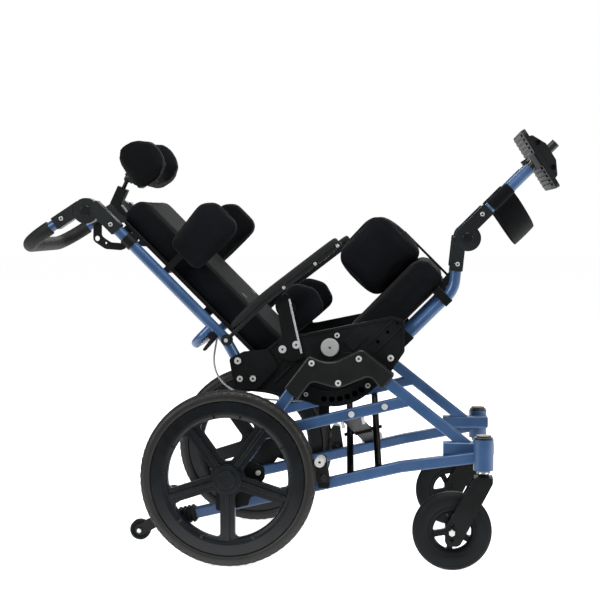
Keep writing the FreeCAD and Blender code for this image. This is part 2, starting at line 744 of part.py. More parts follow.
def hinge_half(centre, degrees, reach, offset, y, outer):
    """Half of a hinge with its sleeve; the inner half carries the pin, the outer half the button."""
    turn = math.radians(degrees)
    along = V(math.cos(turn), 0, math.sin(turn))
    side = V(-math.sin(turn), 0, math.cos(turn))
    middle = V(centre[0], 0, centre[1])
    corners = []
    for step, lift in ((0, offset - 15.5), (reach, offset - 15.5), (reach, offset + 15.5), (0, offset + 15.5)):
        spot = middle + along * step + side * lift
        corners.append((spot.x, spot.z, 3))
    low, high = y - HUB_HALF, y + HUB_HALF
    mine = (y + 0.25, high) if outer else (low, y - 0.25)
    theirs = (low - 1, y + 0.25) if outer else (y - 0.25, high + 1)
    sleeve = plate(corners, low, high).cut(disc(centre[0], centre[1], HUB_SIZE + 1, *theirs))
    body = sleeve.fuse(disc(centre[0], centre[1], HUB_SIZE, *mine))
    axis = middle + side * offset + V(0, y, 0)
    body = body.cut(rod(axis + along * (reach - SOCKET), axis + along * (reach + 1), ROUND_R))
    if outer:
        body = body.cut(disc(centre[0], centre[1], 10 + RUNNING, y - 20, y + 6))
        body = body.cut(disc(centre[0], centre[1], 13.3, y + 5, y + 20))
    else:
        body = body.fuse(disc(centre[0], centre[1], 10, y - 8, y + 4.5))
    return biggest(body.removeSplitter())


def hinge_button(centre, y):
    face = disc(centre[0], centre[1], 13, y + 9.5, y + 17)
    edge = [e for e in face.Edges if abs(e.CenterOfMass.y - y - 17) < 0.01]
    return face.makeChamfer(1.2, edge)


def handle_socket():
    return hinge_half(HANDLE_HUB, -90, 84, CANE_X - HANDLE_HUB[0], CANE_Y, True)


def handle_arm():
    return hinge_half(HANDLE_HUB, HANDLE_DEG, 80, -HANDLE_OFFSET, CANE_Y, False)


def knee_socket():
    return hinge_half(KNEE, KNEE_DEG, KNEE_REACH, KNEE_OFFSET, LEG_Y, False)


def knee_arm():
    return hinge_half(KNEE, 0, 82, LEG_Z - KNEE[1], LEG_Y, True)


# Push handle

def handle_points(start):
    turn = math.radians(HANDLE_DEG)
    along = V(math.cos(turn), 0, math.sin(turn))
    side = V(math.sin(turn), 0, -math.cos(turn))
    origin = V(HANDLE_HUB[0], 0, HANDLE_HUB[1]) + side * HANDLE_OFFSET
    near, far = origin + along * start, origin + along * HANDLE_REACH
    across = V(0, CANE_Y, 0)
    return [near + across, far + across, far - across, near - across]


def push_bar():
    return round_tube(handle_points(40), 72, ROUND_R, WALL)


def foam_grip():
    return round_sweep(handle_points(93), 72, 17).cut(round_sweep(handle_points(93), 72, ROUND_R))


# Armrests

def arm_bar():
    points = [flat(*ARM_PIVOT, ARM_Y), flat(-32, 178, ARM_Y), flat(187, 149, ARM_Y)]
    body = square_sweep(points, 120, 16, 9, 2)
    eye = disc(*ARM_PIVOT, 13, ARM_Y - 10, ARM_Y + 10)
    return union(body, eye).cut(disc(*ARM_PIVOT, 6 + RUNNING, 150, 260))


def arm_pad():
    points = [flat(-130, 192.7, ARM_Y), flat(-31, 191.2, ARM_Y), flat(190, 161.9, ARM_Y)]
    body = square_sweep(points, 120, 25, 18, 7)
    return body.cut(arm_bar())


def arm_pin():
    return union(disc(*ARM_PIVOT, 6, CANE_Y, ARM_Y + 11), disc(*ARM_PIVOT, 10, ARM_Y + 11, ARM_Y + 17)).cut(
        round_sweep(cane_points(), 70, ROUND_R))


# Headrest

ROD_DEG = 20.0
BALL = (-86.0, 641.0)
BALL_R = 9.0
HEAD_DEG = 14.0


def rod_point(step):
    turn = math.radians(ROD_DEG)
    return V(BALL[0] + step * math.cos(turn), 0, BALL[1] + step * math.sin(turn))


def headrest_bracket():
    """Bracket up the back of the shell to the clamp block that holds the rod."""
    block = box(-24, 24, -13, 13, -13, 13).cut(rod(V(-40, 0, 0), V(40, 0, 0), 5 + RUNNING))
    block.rotate(V(0, 0, 0), V(0, 1, 0), -ROD_DEG)
    block = block.translated(rod_point(-48))
    arm = plate([(-152, 500, 3), (-146, 500, 2), (-146, 570, 10), (-140, 612, 6), (-152, 624, 6),
                 (-158, 600, 10), (-152, 560, 10)], -16, 16)
    return union(block, arm.cut(rod(rod_point(-120), rod_point(60), 6)))


def headrest_mount():
    ball = Part.makeSphere(BALL_R, rod_point(0))
    return union(rod(rod_point(-78), rod_point(0), 5), ball)


def headrest_pad():
    """Contoured head support: a back and two wings that come forward."""
    points = [(-62, 6, 16), (-62, 96, 26), (-40, 108, 16), (28, 108, 16), (28, 74, 16), (-18, 66, 30),
              (-34, 30, 20)]
    right = [(x, -y, r) for x, y, r in reversed(points)]
    corners = [(V(x, y, 0), r) for x, y, r in points[1:] + right[:-1]]
    body = Part.Face(bends(corners, True)).extrude(V(0, 0, 104)).translated(V(0, 0, 576))
    body.rotate(V(-20, 0, 628), V(0, 1, 0), HEAD_DEG)
    return body.makeFillet(10, [e for e in body.Edges if e.Length > 60 and abs(e.CenterOfMass.z - 628) > 20])


def headrest_shell():
    """Back plate of the head support with the boss that holds the ball."""
    centre = rod_point(0)
    boss = Part.makeCylinder(15, 16, V(-70, 0, centre.z - 16), V(-1, 0, 0))
    body = union(box(-70, -62, -42, 42, 588, 668), boss)
    body.rotate(V(-20, 0, 628), V(0, 1, 0), HEAD_DEG)
    return body.cut(Part.makeSphere(BALL_R + 0.3, centre))


# Legrest

def leg_tube():
    return round_tube([flat(x, LEG_Z, LEG_Y) for x in (442, 613)], 0, ROUND_R, WALL)


def footplate_post():
    return rod(flat(520, LEG_Z, LEG_Y), flat(694, LEG_Z, LEG_Y), ROUND_R - WALL)


STRAP_START = 488.0
STRAP_END = 551.0


def calf_strap():
    """Band slung between the leg tubes: a loop round each tube and a sag behind the calves."""
    inner, outer = ROUND_R + 0.4, ROUND_R + 3.4
    length = STRAP_END - STRAP_START
    middle = (STRAP_START + STRAP_END) / 2
    half = [(LEG_Y - 13, -6), (118, -86), (60, -108)]
    across = half + [(-y, drop) for y, drop in reversed(half)]
    points = [V(middle, y, LEG_Z + drop) for y, drop in across]
    along = (points[1] - points[0]).normalize()
    normal = along.cross(V(1, 0, 0))
    corners = []
    for i, j in ((-1, -1), (1, -1), (1, 1), (-1, 1)):
        corners.append(points[0] + V(i * length / 2, 0, 0) + normal * (j * 1.5))
    section = Part.makePolygon(corners + corners[:1])
    body = route(points, 60).makePipeShell([section], True, False)
    for y in (LEG_Y, -LEG_Y):
        body = body.fuse(rod(flat(STRAP_START, LEG_Z, y), flat(STRAP_END, LEG_Z, y), outer))
    for y in (LEG_Y, -LEG_Y):
        body = body.cut(rod(flat(STRAP_START - 5, LEG_Z, y), flat(STRAP_END + 5, LEG_Z, y), inner))
    return biggest(body)


FOOT_TILT = 13.0
FOOT_X = 644.0


def footplate():
    """One casting across both posts: ridged tread towards the knees, gussets with holes behind."""
    half = LEG_Y + 20
    body = box(-5, 5, -half, half, -78, 76)
    corners = [e for e in body.Edges if abs(e.tangentAt(e.FirstParameter).x) > 0.9]
    body = body.makeFillet(16, corners)
    extras = []
    for z in range(-68, 72, 11):
        extras.append(box(-9, -5, -LEG_Y + 24, LEG_Y - 24, z, z + 5))
    for y in (LEG_Y, -LEG_Y):
        gusset = plate([(0, -58, 4), (0, 58, 4), (12, 54, 6), (28, 22, 8), (28, -22, 8), (12, -54, 6)],
                       y - 17, y + 17)
        for z in (-33, 33):
            gusset = gusset.cut(disc(13, z, 6, y - 20, y + 20))
        extras.append(gusset)
        extras.append(box(-20, 0, y - 17, y + 17, -17, 17))
    body = union(body, *extras)
    body.rotate(V(0, 0, 0), V(0, 1, 0), FOOT_TILT)
    body = body.translated(V(FOOT_X, 0, LEG_Z))
    for y in (LEG_Y, -LEG_Y):
        body = body.cut(rod(flat(560, LEG_Z, y), flat(760, LEG_Z, y), ROUND_R - WALL + RUNNING))
    return biggest(body)


# Soft pieces

def seat_cushion():
    half = CUSHION_Y
    edge = [V(-72, -half, PAN_Z + 4), V(-72, half, PAN_Z + 4), V(-72, half, -10)]
    crown = Part.Arc(V(-72, half, -10), V(-72, 0, 2), V(-72, -half, -10)).toShape()
    lines = [Part.makeLine(edge[0], edge[1]), Part.makeLine(edge[1], edge[2]), crown,
             Part.makeLine(V(-72, -half, -10), edge[0])]
    body = Part.Face(Part.Wire(lines)).extrude(V(368, 0, 0))
    return softened(body, 9)


def back_cushion():
    half = BACK_Y
    wire = [Part.makeLine(V(-138, -half, 15), V(-138, half, 15)),
            Part.makeLine(V(-138, half, 15), V(-82, half, 15)),
            Part.Arc(V(-82, half, 15), V(-76, 0, 15), V(-82, -half, 15)).toShape(),
            Part.makeLine(V(-82, -half, 15), V(-138, -half, 15))]
    body = Part.Face(Part.Wire(wire)).extrude(V(0, 0, 550))
    return softened(body, 12)


def lateral_pad():
    points = [(-98, 348, 14), (-98, 432, 14), (20, 446, 22), (44, 424, 18), (44, 346, 22)]
    return soft_plate(points, 154, 184, 8)


def hip_pad():
    points = [(-45, 80, 18), (-30, 164, 24), (40, 164, 24), (64, 120, 24), (50, 74, 20)]
    return soft_plate(points, 140, 171.5, 8)


def pommel_pad():
    points = [(146, 6, 22), (146, 142, 30), (284, 146, 24), (301, 110, 24), (301, 6, 16)]
    return soft_plate(points, -62, 62, 12)


def pommel_bracket():
    """Upright strip in front of the cushion with the hinge barrel at its foot."""
    x, z = POMMEL_HINGE
    strip = box(x - 11, x - 6, -18, 18, z, 70)
    barrel = disc(x, z, 9, -25, 25)
    return union(strip, barrel).cut(disc(x, z, 5 + RUNNING, -40, 40))


# Back cane brackets, tilt lever and control cable

def cane_bracket():
    """Curved plate behind each cane from the hinge to the clip below it, with its holes."""
    points = [(-186, 592, 5), (-198, 588, 8), (-221, 566, 14), (-214, 532, 20), (-190, 504, 10),
              (-176.5, 498, 4), (-176.5, 514, 4), (-194, 534, 14), (-199, 560, 12), (-176.5, 582, 4)]
    body = plate(points, CANE_Y - 3, CANE_Y + 3)
    body = body.cut(disc(-210, 563, 6, 150, 230)).cut(disc(-203, 541, 2.5, 150, 230))
    ring_out = Part.makeCylinder(ROUND_R + 3.5, 26, flat(CANE_X + 0.8, 492, CANE_Y))
    return biggest(union(body, ring_out).cut(round_sweep(cane_points(), 70, ROUND_R)).cut(handle_socket()))


LEVER_PIVOT = (-181.0, 206.0)


def tilt_lever():
    x, z = LEVER_PIVOT
    body = plate([(x - 36, z - 8, 4), (x + 5, z - 6, 4), (x + 5, z + 5, 4), (x - 36, z - 1, 3)],
                 -CANE_Y - 9, -CANE_Y + 9)
    return body.cut(disc(x, z, 3 + RUNNING, -230, -150))


def lever_mount():
    x, z = LEVER_PIVOT
    pin = disc(x, z, 3, -CANE_Y - 14, -CANE_Y + 14)
    cheek = plate([(x - 6, z - 5, 3), (x + 12, z - 5, 3), (x + 12, z + 12, 3), (x - 6, z + 12, 3)],
                  -CANE_Y - 13, -CANE_Y - 10)
    shapes = union(cheek, cheek.translated(V(0, 23, 0)), pin)
    shapes = shapes.cut(mirrored(round_sweep(cane_points(), 70, ROUND_R)))
    return shapes.cut(rod(flat(-150, BAR_Z, -CANE_Y), flat(-240, BAR_Z, -CANE_Y), BAR_R))


CABLE_R = 2.2


def cable_points():
    """Free loop of the control cable in the base's own directions, from the lever to the tilt lock."""
    run_y = -170.5
    fall = [(-266, 524, -174.75), (-272, 494, -173), (-277, 462, -171.5)]
    run = [(-268, 426), (-240, 398), (-196, 380), (-140, 372), (-84, 370), (-52, 375), (-29.75, 380)]
    return [flat(*corner) for corner in fall] + [flat(x, z, run_y) for x, z in run]


def control_cable():
    points = cable_points()
    corners = [(points[0], 0)]
    for before, point, after in zip(points, points[1:], points[2:]):
        back, ahead = before - point, after - point
        turn = math.pi - back.getAngle(ahead)
        shorter = min(back.Length, ahead.Length)
        corners.append((point, 0.45 * shorter / math.tan(turn / 2) if turn > 0.02 else 0))
    corners.append((points[-1], 0))
    print("cable bend radii", [round(radius) for _, radius in corners[1:-1]])
    wire = bends(corners, False)
    circle = Part.Wire(Part.makeCircle(CABLE_R, points[0], points[1] - points[0]))
    tube = wire.makePipeShell([circle], True, False)
    print("cable volume over section times length", tube.Volume / (math.pi * CABLE_R ** 2 * wire.Length))
    print("cable length", round(wire.Length))
    return tube


# Writing the pieces

save("arch_tubes", base, *both(arch_tube()))
save("upper_rails", base, *both(upper_rail()))
save("lower_rails", base, *both(lower_rail()))
save("caster_housings", base, *both(caster_housing()))
save("pivot_covers", base, *both(pivot_cover()))
save("frame_plates", base, *both(axle_plate()), *both(pivot_bracket()), *both(lock_lug()))
save("rear_axle_tube", base, rear_axle_tube(), *both(rear_spindle()))
save("cross_brace", base, brace_tube(0), brace_tube(BRACE_GAP), brace_plate(), brace_bolt())
save("anti_tip_arms", base, *both(anti_tip_arm()))
save("tilt_locks", base, *both(tilt_lock()))
save("caster_bearings", base, *both(caster_bearing(HOUSING_LOW)), *both(caster_bearing(HOUSING_HIGH - 10)))
fittings = [shape for piece in base_fittings() for shape in both(piece)]
save("base_fittings", base, *fittings, *brace_lugs())

wheel = rear_wheel().translated(V(AXLE_X, WHEEL_Y, WHEEL_R))
tyre = rear_tyre().translated(V(AXLE_X, WHEEL_Y, WHEEL_R))
caster = [shape.translated(V(CASTER_X, CASTER_Y, CASTER_R)) for shape in (caster_hub(), caster_tyre())]
fork = [caster_fork(), caster_axle()]
for name, pieces in (("rear_wheel", [wheel]), ("rear_tyre", [tyre]), ("caster_fork", fork),
                     ("caster_wheel", caster), ("anti_tip_wheel", [anti_tip_wheel()]),
                     ("wheel_lock", [wheel_lock()])):
    save(name + "_left", base, *pieces)
    save(name + "_right", base, *[mirrored(piece) for piece in pieces])

save("rocker_plates", seat, *both(rocker_plate()))
save("tilt_pivots", seat, *both(tilt_pivot()))
save("seat_pan", seat, seat_pan(), cross_tube(92, -87), cross_tube(-110, -20))
save("seat_cushion", seat, seat_cushion())
save("back_canes", seat, *both(back_cane()))
save("back_bar", seat, back_bar())
save("back_shell", seat, back_shell())
save("back_cushion", seat, back_cushion())
save("lateral_pads", seat, *both(lateral_pad()))
save("hip_pads", seat, *both(hip_pad()))
brackets = [angle_plate(), hip_bar(), lateral_bar(), hanger_clamp(), front_block(), angle_spacer(-201, 95), angle_spacer(-179, 74),
            shell_clip(250), shell_clip(520)]
save("seat_brackets", seat, *[shape for piece in brackets for shape in both(piece)], pommel_clevis())
save("leg_hangers", seat, *both(leg_hanger()))
save("hinge_sockets", seat, *both(handle_socket()), *both(knee_socket()))
bolts = [screw(*bolt) for bolt in seat_bolts_at()] + [arm_pin()]
save("seat_bolts", seat, *[shape for piece in bolts for shape in both(piece)])
save("back_brackets", seat, headrest_bracket(), *both(cane_bracket()), lever_mount())

save("handle_arms", seat, *both(handle_arm()))
save("push_bar", seat, push_bar())
save("foam_grip", seat, foam_grip())
for name, piece in (("arm_bar", arm_bar()), ("arm_pad", arm_pad()), ("knee_button", hinge_button(KNEE, LEG_Y)),
                    ("handle_button", hinge_button(HANDLE_HUB, CANE_Y))):
    save(name + "_left", seat, piece)
    save(name + "_right", seat, mirrored(piece))
save("headrest_mount", seat, headrest_mount())
save("headrest_pad", seat, headrest_pad(), headrest_shell())
save("knee_arms", seat, *both(knee_arm()))
save("leg_tubes", seat, *both(leg_tube()), *both(footplate_post()))
save("calf_strap", seat, calf_strap())
save("footplate", seat, footplate())
save("pommel_bracket", seat, pommel_bracket())
save("pommel_pad", seat, pommel_pad())
save("tilt_lever", seat, tilt_lever())
save("control_cable", base, control_cable())
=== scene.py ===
import math

import bmesh
import bpy
from mathutils import Matrix, Vector


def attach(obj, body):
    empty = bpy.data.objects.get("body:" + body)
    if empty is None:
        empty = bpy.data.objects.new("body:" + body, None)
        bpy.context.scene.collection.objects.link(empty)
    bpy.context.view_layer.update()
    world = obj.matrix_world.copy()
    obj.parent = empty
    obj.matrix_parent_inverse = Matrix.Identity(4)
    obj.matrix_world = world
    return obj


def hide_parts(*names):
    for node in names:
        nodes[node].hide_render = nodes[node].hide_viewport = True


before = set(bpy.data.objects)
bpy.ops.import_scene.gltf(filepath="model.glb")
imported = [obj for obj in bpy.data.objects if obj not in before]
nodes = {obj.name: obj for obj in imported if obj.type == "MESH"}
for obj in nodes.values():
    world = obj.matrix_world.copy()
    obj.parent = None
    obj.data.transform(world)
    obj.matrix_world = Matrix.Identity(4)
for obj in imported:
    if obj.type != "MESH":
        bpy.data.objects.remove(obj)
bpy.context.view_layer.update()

# Studio
# A pale floor that ends in front of the object, lit by soft boxes overhead, at the sides and behind.
# The camera stands where the photograph was taken from, with the same long lens.
scene = bpy.context.scene
scene.view_settings.view_transform = "Standard"

FLOOR_HALF = 14.0
FLOOR_FRONT = -0.8
floor_mesh = bmesh.new()
bmesh.ops.create_grid(floor_mesh, x_segments=8, y_segments=8, size=FLOOR_HALF)
bmesh.ops.translate(floor_mesh, verts=floor_mesh.verts, vec=(0, FLOOR_HALF + FLOOR_FRONT, 0))
floor_data = bpy.data.meshes.new("studio_floor")
floor_mesh.to_mesh(floor_data)
floor_mesh.free()
floor = bpy.data.objects.new("studio_floor", floor_data)
scene.collection.objects.link(floor)

surround = bpy.data.worlds.new("surround")
scene.world = surround
surround.use_nodes = True
surround.node_tree.nodes.clear()


def surround_node(kind, **inputs):
    node = surround.node_tree.nodes.new(kind)
    for name, value in inputs.items():
        node.inputs[name].default_value = value
    return node


seen = surround_node("ShaderNodeBackground", Color=(1, 1, 1, 1), Strength=1.0)
lighting = surround_node("ShaderNodeBackground", Color=(1, 1, 1, 1), Strength=0.2)
chooser = surround_node("ShaderNodeMixShader")
rays = surround_node("ShaderNodeLightPath")
surround_out = surround_node("ShaderNodeOutputWorld")
join = surround.node_tree.links.new
join(rays.outputs["Is Camera Ray"], chooser.inputs[0])
join(lighting.outputs[0], chooser.inputs[1])
join(seen.outputs[0], chooser.inputs[2])
join(chooser.outputs[0], surround_out.inputs[0])

for name, place, aim, size, power in (
        ("overhead_box", (0.1, -0.9, 3.2), (0, 0, 0.3), 2.2, 84),
        ("left_box", (-2.6, -2.4, 1.7), (0, 0, 0.5), 1.4, 58),
        ("right_box", (2.8, -1.9, 1.5), (0, 0, 0.5), 1.2, 46),
        ("rear_box", (0.2, 3.0, 2.4), (0, 0, 0.5), 2.0, 44)):
    light = bpy.data.lights.new(name, "AREA")
    light.shape = "SQUARE"
    light.size = size
    light.energy = power
    lamp = bpy.data.objects.new(name, light)
    lamp.location = place
    lamp.rotation_euler = (Vector(aim) - Vector(place)).to_track_quat("-Z", "Y").to_euler()
    scene.collection.objects.link(lamp)

CAMERA_PLACE = Vector((0.359, -3.642, 0.800))
CAMERA_YAW = -0.0922
CAMERA_PITCH = -0.0554
lens = bpy.data.cameras.new("camera")
lens.lens = 90
lens.sensor_width = 36
camera = bpy.data.objects.new("camera", lens)
camera.location = CAMERA_PLACE
sight = Vector((math.cos(CAMERA_PITCH) * math.sin(CAMERA_YAW),
                math.cos(CAMERA_PITCH) * math.cos(CAMERA_YAW), math.sin(CAMERA_PITCH)))
camera.rotation_euler = sight.to_track_quat("-Z", "Y").to_euler()
scene.collection.objects.link(camera)
scene.camera = camera

# Painted side frames
# Square steel tube in satin blue, welded into arches and rails, with a faint orange peel.
# The round canes, rear bar, leg hangers and push bar of the seat have the same paint.


class Shade:
    """One socket of a material's node tree; arithmetic on it adds Math nodes."""

    def __init__(self, tree, socket=None):
        self.tree = tree
        self.socket = socket

    def add(self, kind, inputs=None, output=0, **settings):
        """Any node with its settings and inputs, and the output to go on with."""
        node = self.tree.nodes.new(kind)
        for name, value in settings.items():
            setattr(node, name, value)
        for name, value in (inputs or {}).items():
            if isinstance(value, Shade):
                self.tree.links.new(value.socket, node.inputs[name])
            else:
                node.inputs[name].default_value = value
        return Shade(self.tree, node.outputs[output])

    def math(self, operation, other=0.0):
        return self.add("ShaderNodeMath", {0: self, 1: other}, operation=operation)

    def __add__(self, other):
        return self.math("ADD", other)

    def __sub__(self, other):
        return self.math("SUBTRACT", other)

    def __mul__(self, other):
        return self.math("MULTIPLY", other)

    def place(self):
        return self.add("ShaderNodeTexCoord", output="Object")

    def noise(self, scale, detail=3.0):
        return self.add("ShaderNodeTexNoise", {"Vector": self.place(), "Scale": scale, "Detail": detail})

    def between(self, low, high):
        """0 below the first value, 1 above the second."""
        return self.add("ShaderNodeMapRange", {0: self, 1: low, 2: high})

    def mix(self, first, second):
        """A colour between two, with this socket as the factor."""
        return self.add("ShaderNodeMix", {0: self, 6: first, 7: second}, output=2, data_type="RGBA")

    def along(self, direction):
        """Distance along a direction, in metres, in the object's own axes."""
        return self.add("ShaderNodeVectorMath", {0: self.place(), 1: direction}, output="Value",
                        operation="DOT_PRODUCT")


def colour(red, green, blue):
    """A colour given as it looks on screen, from 0 to 255, in the shader's own scale."""
    parts = []
    for value in (red, green, blue):
        share = value / 255
        parts.append(share / 12.92 if share <= 0.04045 else ((share + 0.055) / 1.055) ** 2.4)
    return (*parts, 1.0)


def material(name, **constants):
    """A material with its shader's constant inputs set, ready for what varies."""
    made = bpy.data.materials.new(name)
    made.use_nodes = True
    shader = made.node_tree.nodes["Principled BSDF"]
    for socket, value in constants.items():
        shader.inputs[socket.replace("_", " ").title().replace("Ior", "IOR")].default_value = value
    return made, Shade(made.node_tree), shader


def feed(shade, shader, socket):
    shade.tree.links.new(shade.socket, shader.inputs[socket])


def rounded(shade, height, depth, edge):
    """Bump over edges that catch the light as a small radius does."""
    soft = shade.add("ShaderNodeBevel", {"Radius": edge}, samples=6)
    return shade.add("ShaderNodeBump", {"Height": height, "Distance": depth, "Normal": soft, "Strength": 1.0})


def worn(shade, edge):
    """Nearly 1 on sharp outer edges and 0 on flats."""
    soft = shade.add("ShaderNodeBevel", {"Radius": edge}, samples=6)
    real = shade.add("ShaderNodeNewGeometry", output="Normal")
    match = shade.add("ShaderNodeVectorMath", {0: soft, 1: real}, output="Value", operation="DOT_PRODUCT")
    return (match * -1.0 + 1.0).between(0.03, 0.3)


def hard_surface(name, dark, light, rough, grain, depth, edge=0.0012, wear=0.5, **constants):
    """Paint, plastic, rubber or metal: mottled colour, uneven gloss, grain and worn edges."""
    made, shade, shader = material(name, **constants)
    mottle = shade.noise(14.0).between(0.35, 0.7)
    edge_wear = worn(shade, edge * 1.5) * wear
    tone = (mottle * 0.3 + edge_wear).math("MINIMUM", 1.0)
    feed(tone.mix(dark, light), shader, "Base Color")
    feed(shade.noise(55.0) * 0.18 + (rough - 0.09), shader, "Roughness")
    feed(rounded(shade, shade.noise(grain, 2.0), depth, edge), shader, "Normal")
    return made


def dress(made, *names):
    for name in names:
        piece = nodes[name]
        piece.data.materials.clear()
        piece.data.materials.append(made)


blue_paint = hard_surface("blue_paint", colour(45, 76, 116), colour(80, 114, 158), 0.34, 900.0, 0.00004,
                          metallic=0.2, coat_weight=0.3, coat_roughness=0.25)
dress(blue_paint, "arch_tubes", "upper_rails", "lower_rails", "caster_housings", "rear_axle_tube",
      "back_canes", "back_bar", "leg_hangers", "push_bar")

# Floor paint
# The studio floor glows a little, so that it stays white behind the object.
floor_paint, floor_shade, floor_shader = material("floor_paint", roughness=0.85, specular_ior_level=0.1,
                                                  emission_strength=0.8)
floor_glow = floor_shade.noise(0.5).mix(colour(254, 254, 254), colour(255, 255, 255))
floor_white = floor_shade.noise(0.8).mix(colour(250, 250, 250), colour(253, 253, 253))
feed(floor_glow, floor_shader, "Emission Color")
feed(floor_white, floor_shader, "Base Color")
floor.data.materials.append(floor_paint)

# Moulded plastics and black metal
# Grained black arms, locks and shells, smooth hinges, glossy buttons and satin pivot covers.
# Brackets, forks and the folding brace have black powder coat.
black_plastic = hard_surface("black_plastic", colour(12, 14, 15), colour(40, 44, 47), 0.5, 1500.0, 0.00008,
                             specular_ior_level=0.22)
dress(black_plastic, "anti_tip_arms", "tilt_locks", "tilt_lever", "headrest_mount", "back_shell")
smooth_plastic = hard_surface("smooth_plastic", colour(12, 16, 18), colour(42, 48, 52), 0.44, 2200.0,
                              0.00004, specular_ior_level=0.32)
dress(smooth_plastic, "hinge_sockets", "handle_arms", "knee_arms", "arm_bar_left", "arm_bar_right")
button_black = hard_surface("button_black", colour(5, 6, 7), colour(26, 29, 31), 0.34, 2200.0, 0.00003,
                            edge=0.002, specular_ior_level=0.4)
dress(button_black, "handle_button_left", "handle_button_right", "knee_button_left", "knee_button_right")
side_plastic = hard_surface("side_plastic", colour(9, 11, 12), colour(34, 38, 41), 0.55, 1300.0, 0.00008,
                            specular_ior_level=0.16)
dress(side_plastic, "rocker_plates")
satin_cover = hard_surface("satin_cover", colour(11, 13, 13), colour(33, 35, 36), 0.36, 420.0, 0.00012,
                           edge=0.003, specular_ior_level=0.38)
dress(satin_cover, "pivot_covers")
black_metal = hard_surface("black_metal", colour(5, 6, 7), colour(26, 28, 30), 0.48, 1800.0, 0.00005,
                           specular_ior_level=0.18)
dress(black_metal, "seat_brackets", "back_brackets", "pommel_bracket", "seat_pan",
      "frame_plates", "caster_fork_left", "caster_fork_right")
brace_black = hard_surface("brace_black", colour(1, 1, 2), colour(11, 12, 13), 0.5, 1800.0, 0.00005,
                           specular_ior_level=0.06)
dress(brace_black, "cross_brace")

# Bright fittings and pivot discs
# Plated caster bearings, and the satin grey disc over each tilt pivot.
plated_steel = hard_surface("plated_steel", colour(150, 152, 152), colour(222, 224, 224), 0.3, 700.0,
                            0.00003, metallic=0.9)
disc_grey = hard_surface("disc_grey", colour(146, 148, 147), colour(180, 182, 181), 0.5, 2600.0, 0.00003)
dress(plated_steel, "caster_bearings")
dress(disc_grey, "tilt_pivots")

# Base fittings and wheel locks
# Plated bolts, with black caps on the caster stems whose upward faces carry a painted grey highlight.
# Each wheel lock has a pale peg on a black arm.
CAP_X = 0.345
LOCK_PIN = (0.099, 0.204)
PIN_R = 0.009
PEG = (0.093, 0.245)
PEG_R = 0.0118
ARM_OUT = 0.2442


def from_axis(shade, centre):
    """Distance from an axle across the object, in metres."""
    across = shade.along((1, 0, 0)) - centre[0]
    up = shade.along((0, 0, 1)) - centre[1]
    return (across * across + up * up).math("SQRT")


def plated_bolts(shade, shader, dark, dark_colour):
    """Plated heads, with the dark colour where the mask is 1."""
    bright = shade.noise(40.0).mix(colour(176, 178, 178), colour(226, 228, 228))
    feed(dark.mix(bright, dark_colour), shader, "Base Color")
    feed(dark * -0.4 + 0.4, shader, "Metallic")
    feed(shade.noise(60.0) * 0.2 + 0.25, shader, "Roughness")
    feed(rounded(shade, shade.noise(800.0), 0.00003, 0.0012), shader, "Normal")


fittings_and_cap_highlight, fit_shade, fit_shader = material("fittings_and_cap_highlight")
cap = fit_shade.along((1, 0, 0)).between(CAP_X, CAP_X + 0.001)
pin = from_axis(fit_shade, LOCK_PIN).between(PIN_R, PIN_R - 0.0002)
# The caps' upward faces are painted grey as a highlight from the overhead light.
facing = fit_shade.add("ShaderNodeNewGeometry", output="Normal")
cap_top_highlight = fit_shade.add("ShaderNodeVectorMath", {0: facing, 1: (0, 0, 1)}, output="Value",
                       operation="DOT_PRODUCT").between(0.85, 0.95)
cap_black_and_top_highlight = cap_top_highlight.mix(colour(16, 17, 18), colour(128, 128, 122))
plated_bolts(fit_shade, fit_shader, cap.math("MAXIMUM", pin), cap_black_and_top_highlight)
dress(fittings_and_cap_highlight, "base_fittings")

lock_finish, lock_shade, lock_shader = material("lock_finish", specular_ior_level=0.3)
on_peg = from_axis(lock_shade, PEG).between(PEG_R + 0.0002, PEG_R)
outside_arm = lock_shade.along((0, 1, 0)).math("ABSOLUTE").between(ARM_OUT, ARM_OUT + 0.0002)
peg_grey = lock_shade.noise(50.0).mix(colour(150, 150, 148), colour(196, 196, 194))
feed((on_peg * outside_arm).mix(colour(12, 13, 14), peg_grey), lock_shader, "Base Color")
feed(lock_shade.noise(60.0) * 0.15 + 0.38, lock_shader, "Roughness")
feed(rounded(lock_shade, lock_shade.noise(1200.0), 0.00006, 0.0012), lock_shader, "Normal")
dress(lock_finish, "wheel_lock_left", "wheel_lock_right")

# Seat bolts
# Plated heads; the washer round each armrest pivot is black.
ARM_PIVOT = (-0.1273, 0.5163)
WASHER_R = 0.0124
HEAD_R = 0.0045
seat_bolt_finish, bolt_shade, bolt_shader = material("seat_bolt_finish")
off_pivot = from_axis(bolt_shade, ARM_PIVOT)
inside_washer = off_pivot.between(WASHER_R + 0.0001, WASHER_R - 0.0001)
outside_head = off_pivot.between(HEAD_R - 0.0001, HEAD_R + 0.0001)
plated_bolts(bolt_shade, bolt_shader, inside_washer * outside_head, colour(14, 15, 16))
dress(seat_bolt_finish, "seat_bolts")

# Leg tubes
# Blue tubes with the black posts of the footplate telescoping out of them.
SEAT_FORWARD = Vector((math.sqrt(0.5), 0, math.sqrt(0.5)))
SEAT_UP = Vector((-math.sqrt(0.5), 0, math.sqrt(0.5)))
PIVOT = Vector((0.111, 0, 0.5))
TUBE_END = 0.6131


def seat_point(forward, up, y=0.0):
    """A place in the seat's own directions, in millimetres from the tilt pivot."""
    return PIVOT + SEAT_FORWARD * (forward / 1000) + SEAT_UP * (up / 1000) + Vector((0, y / 1000, 0))


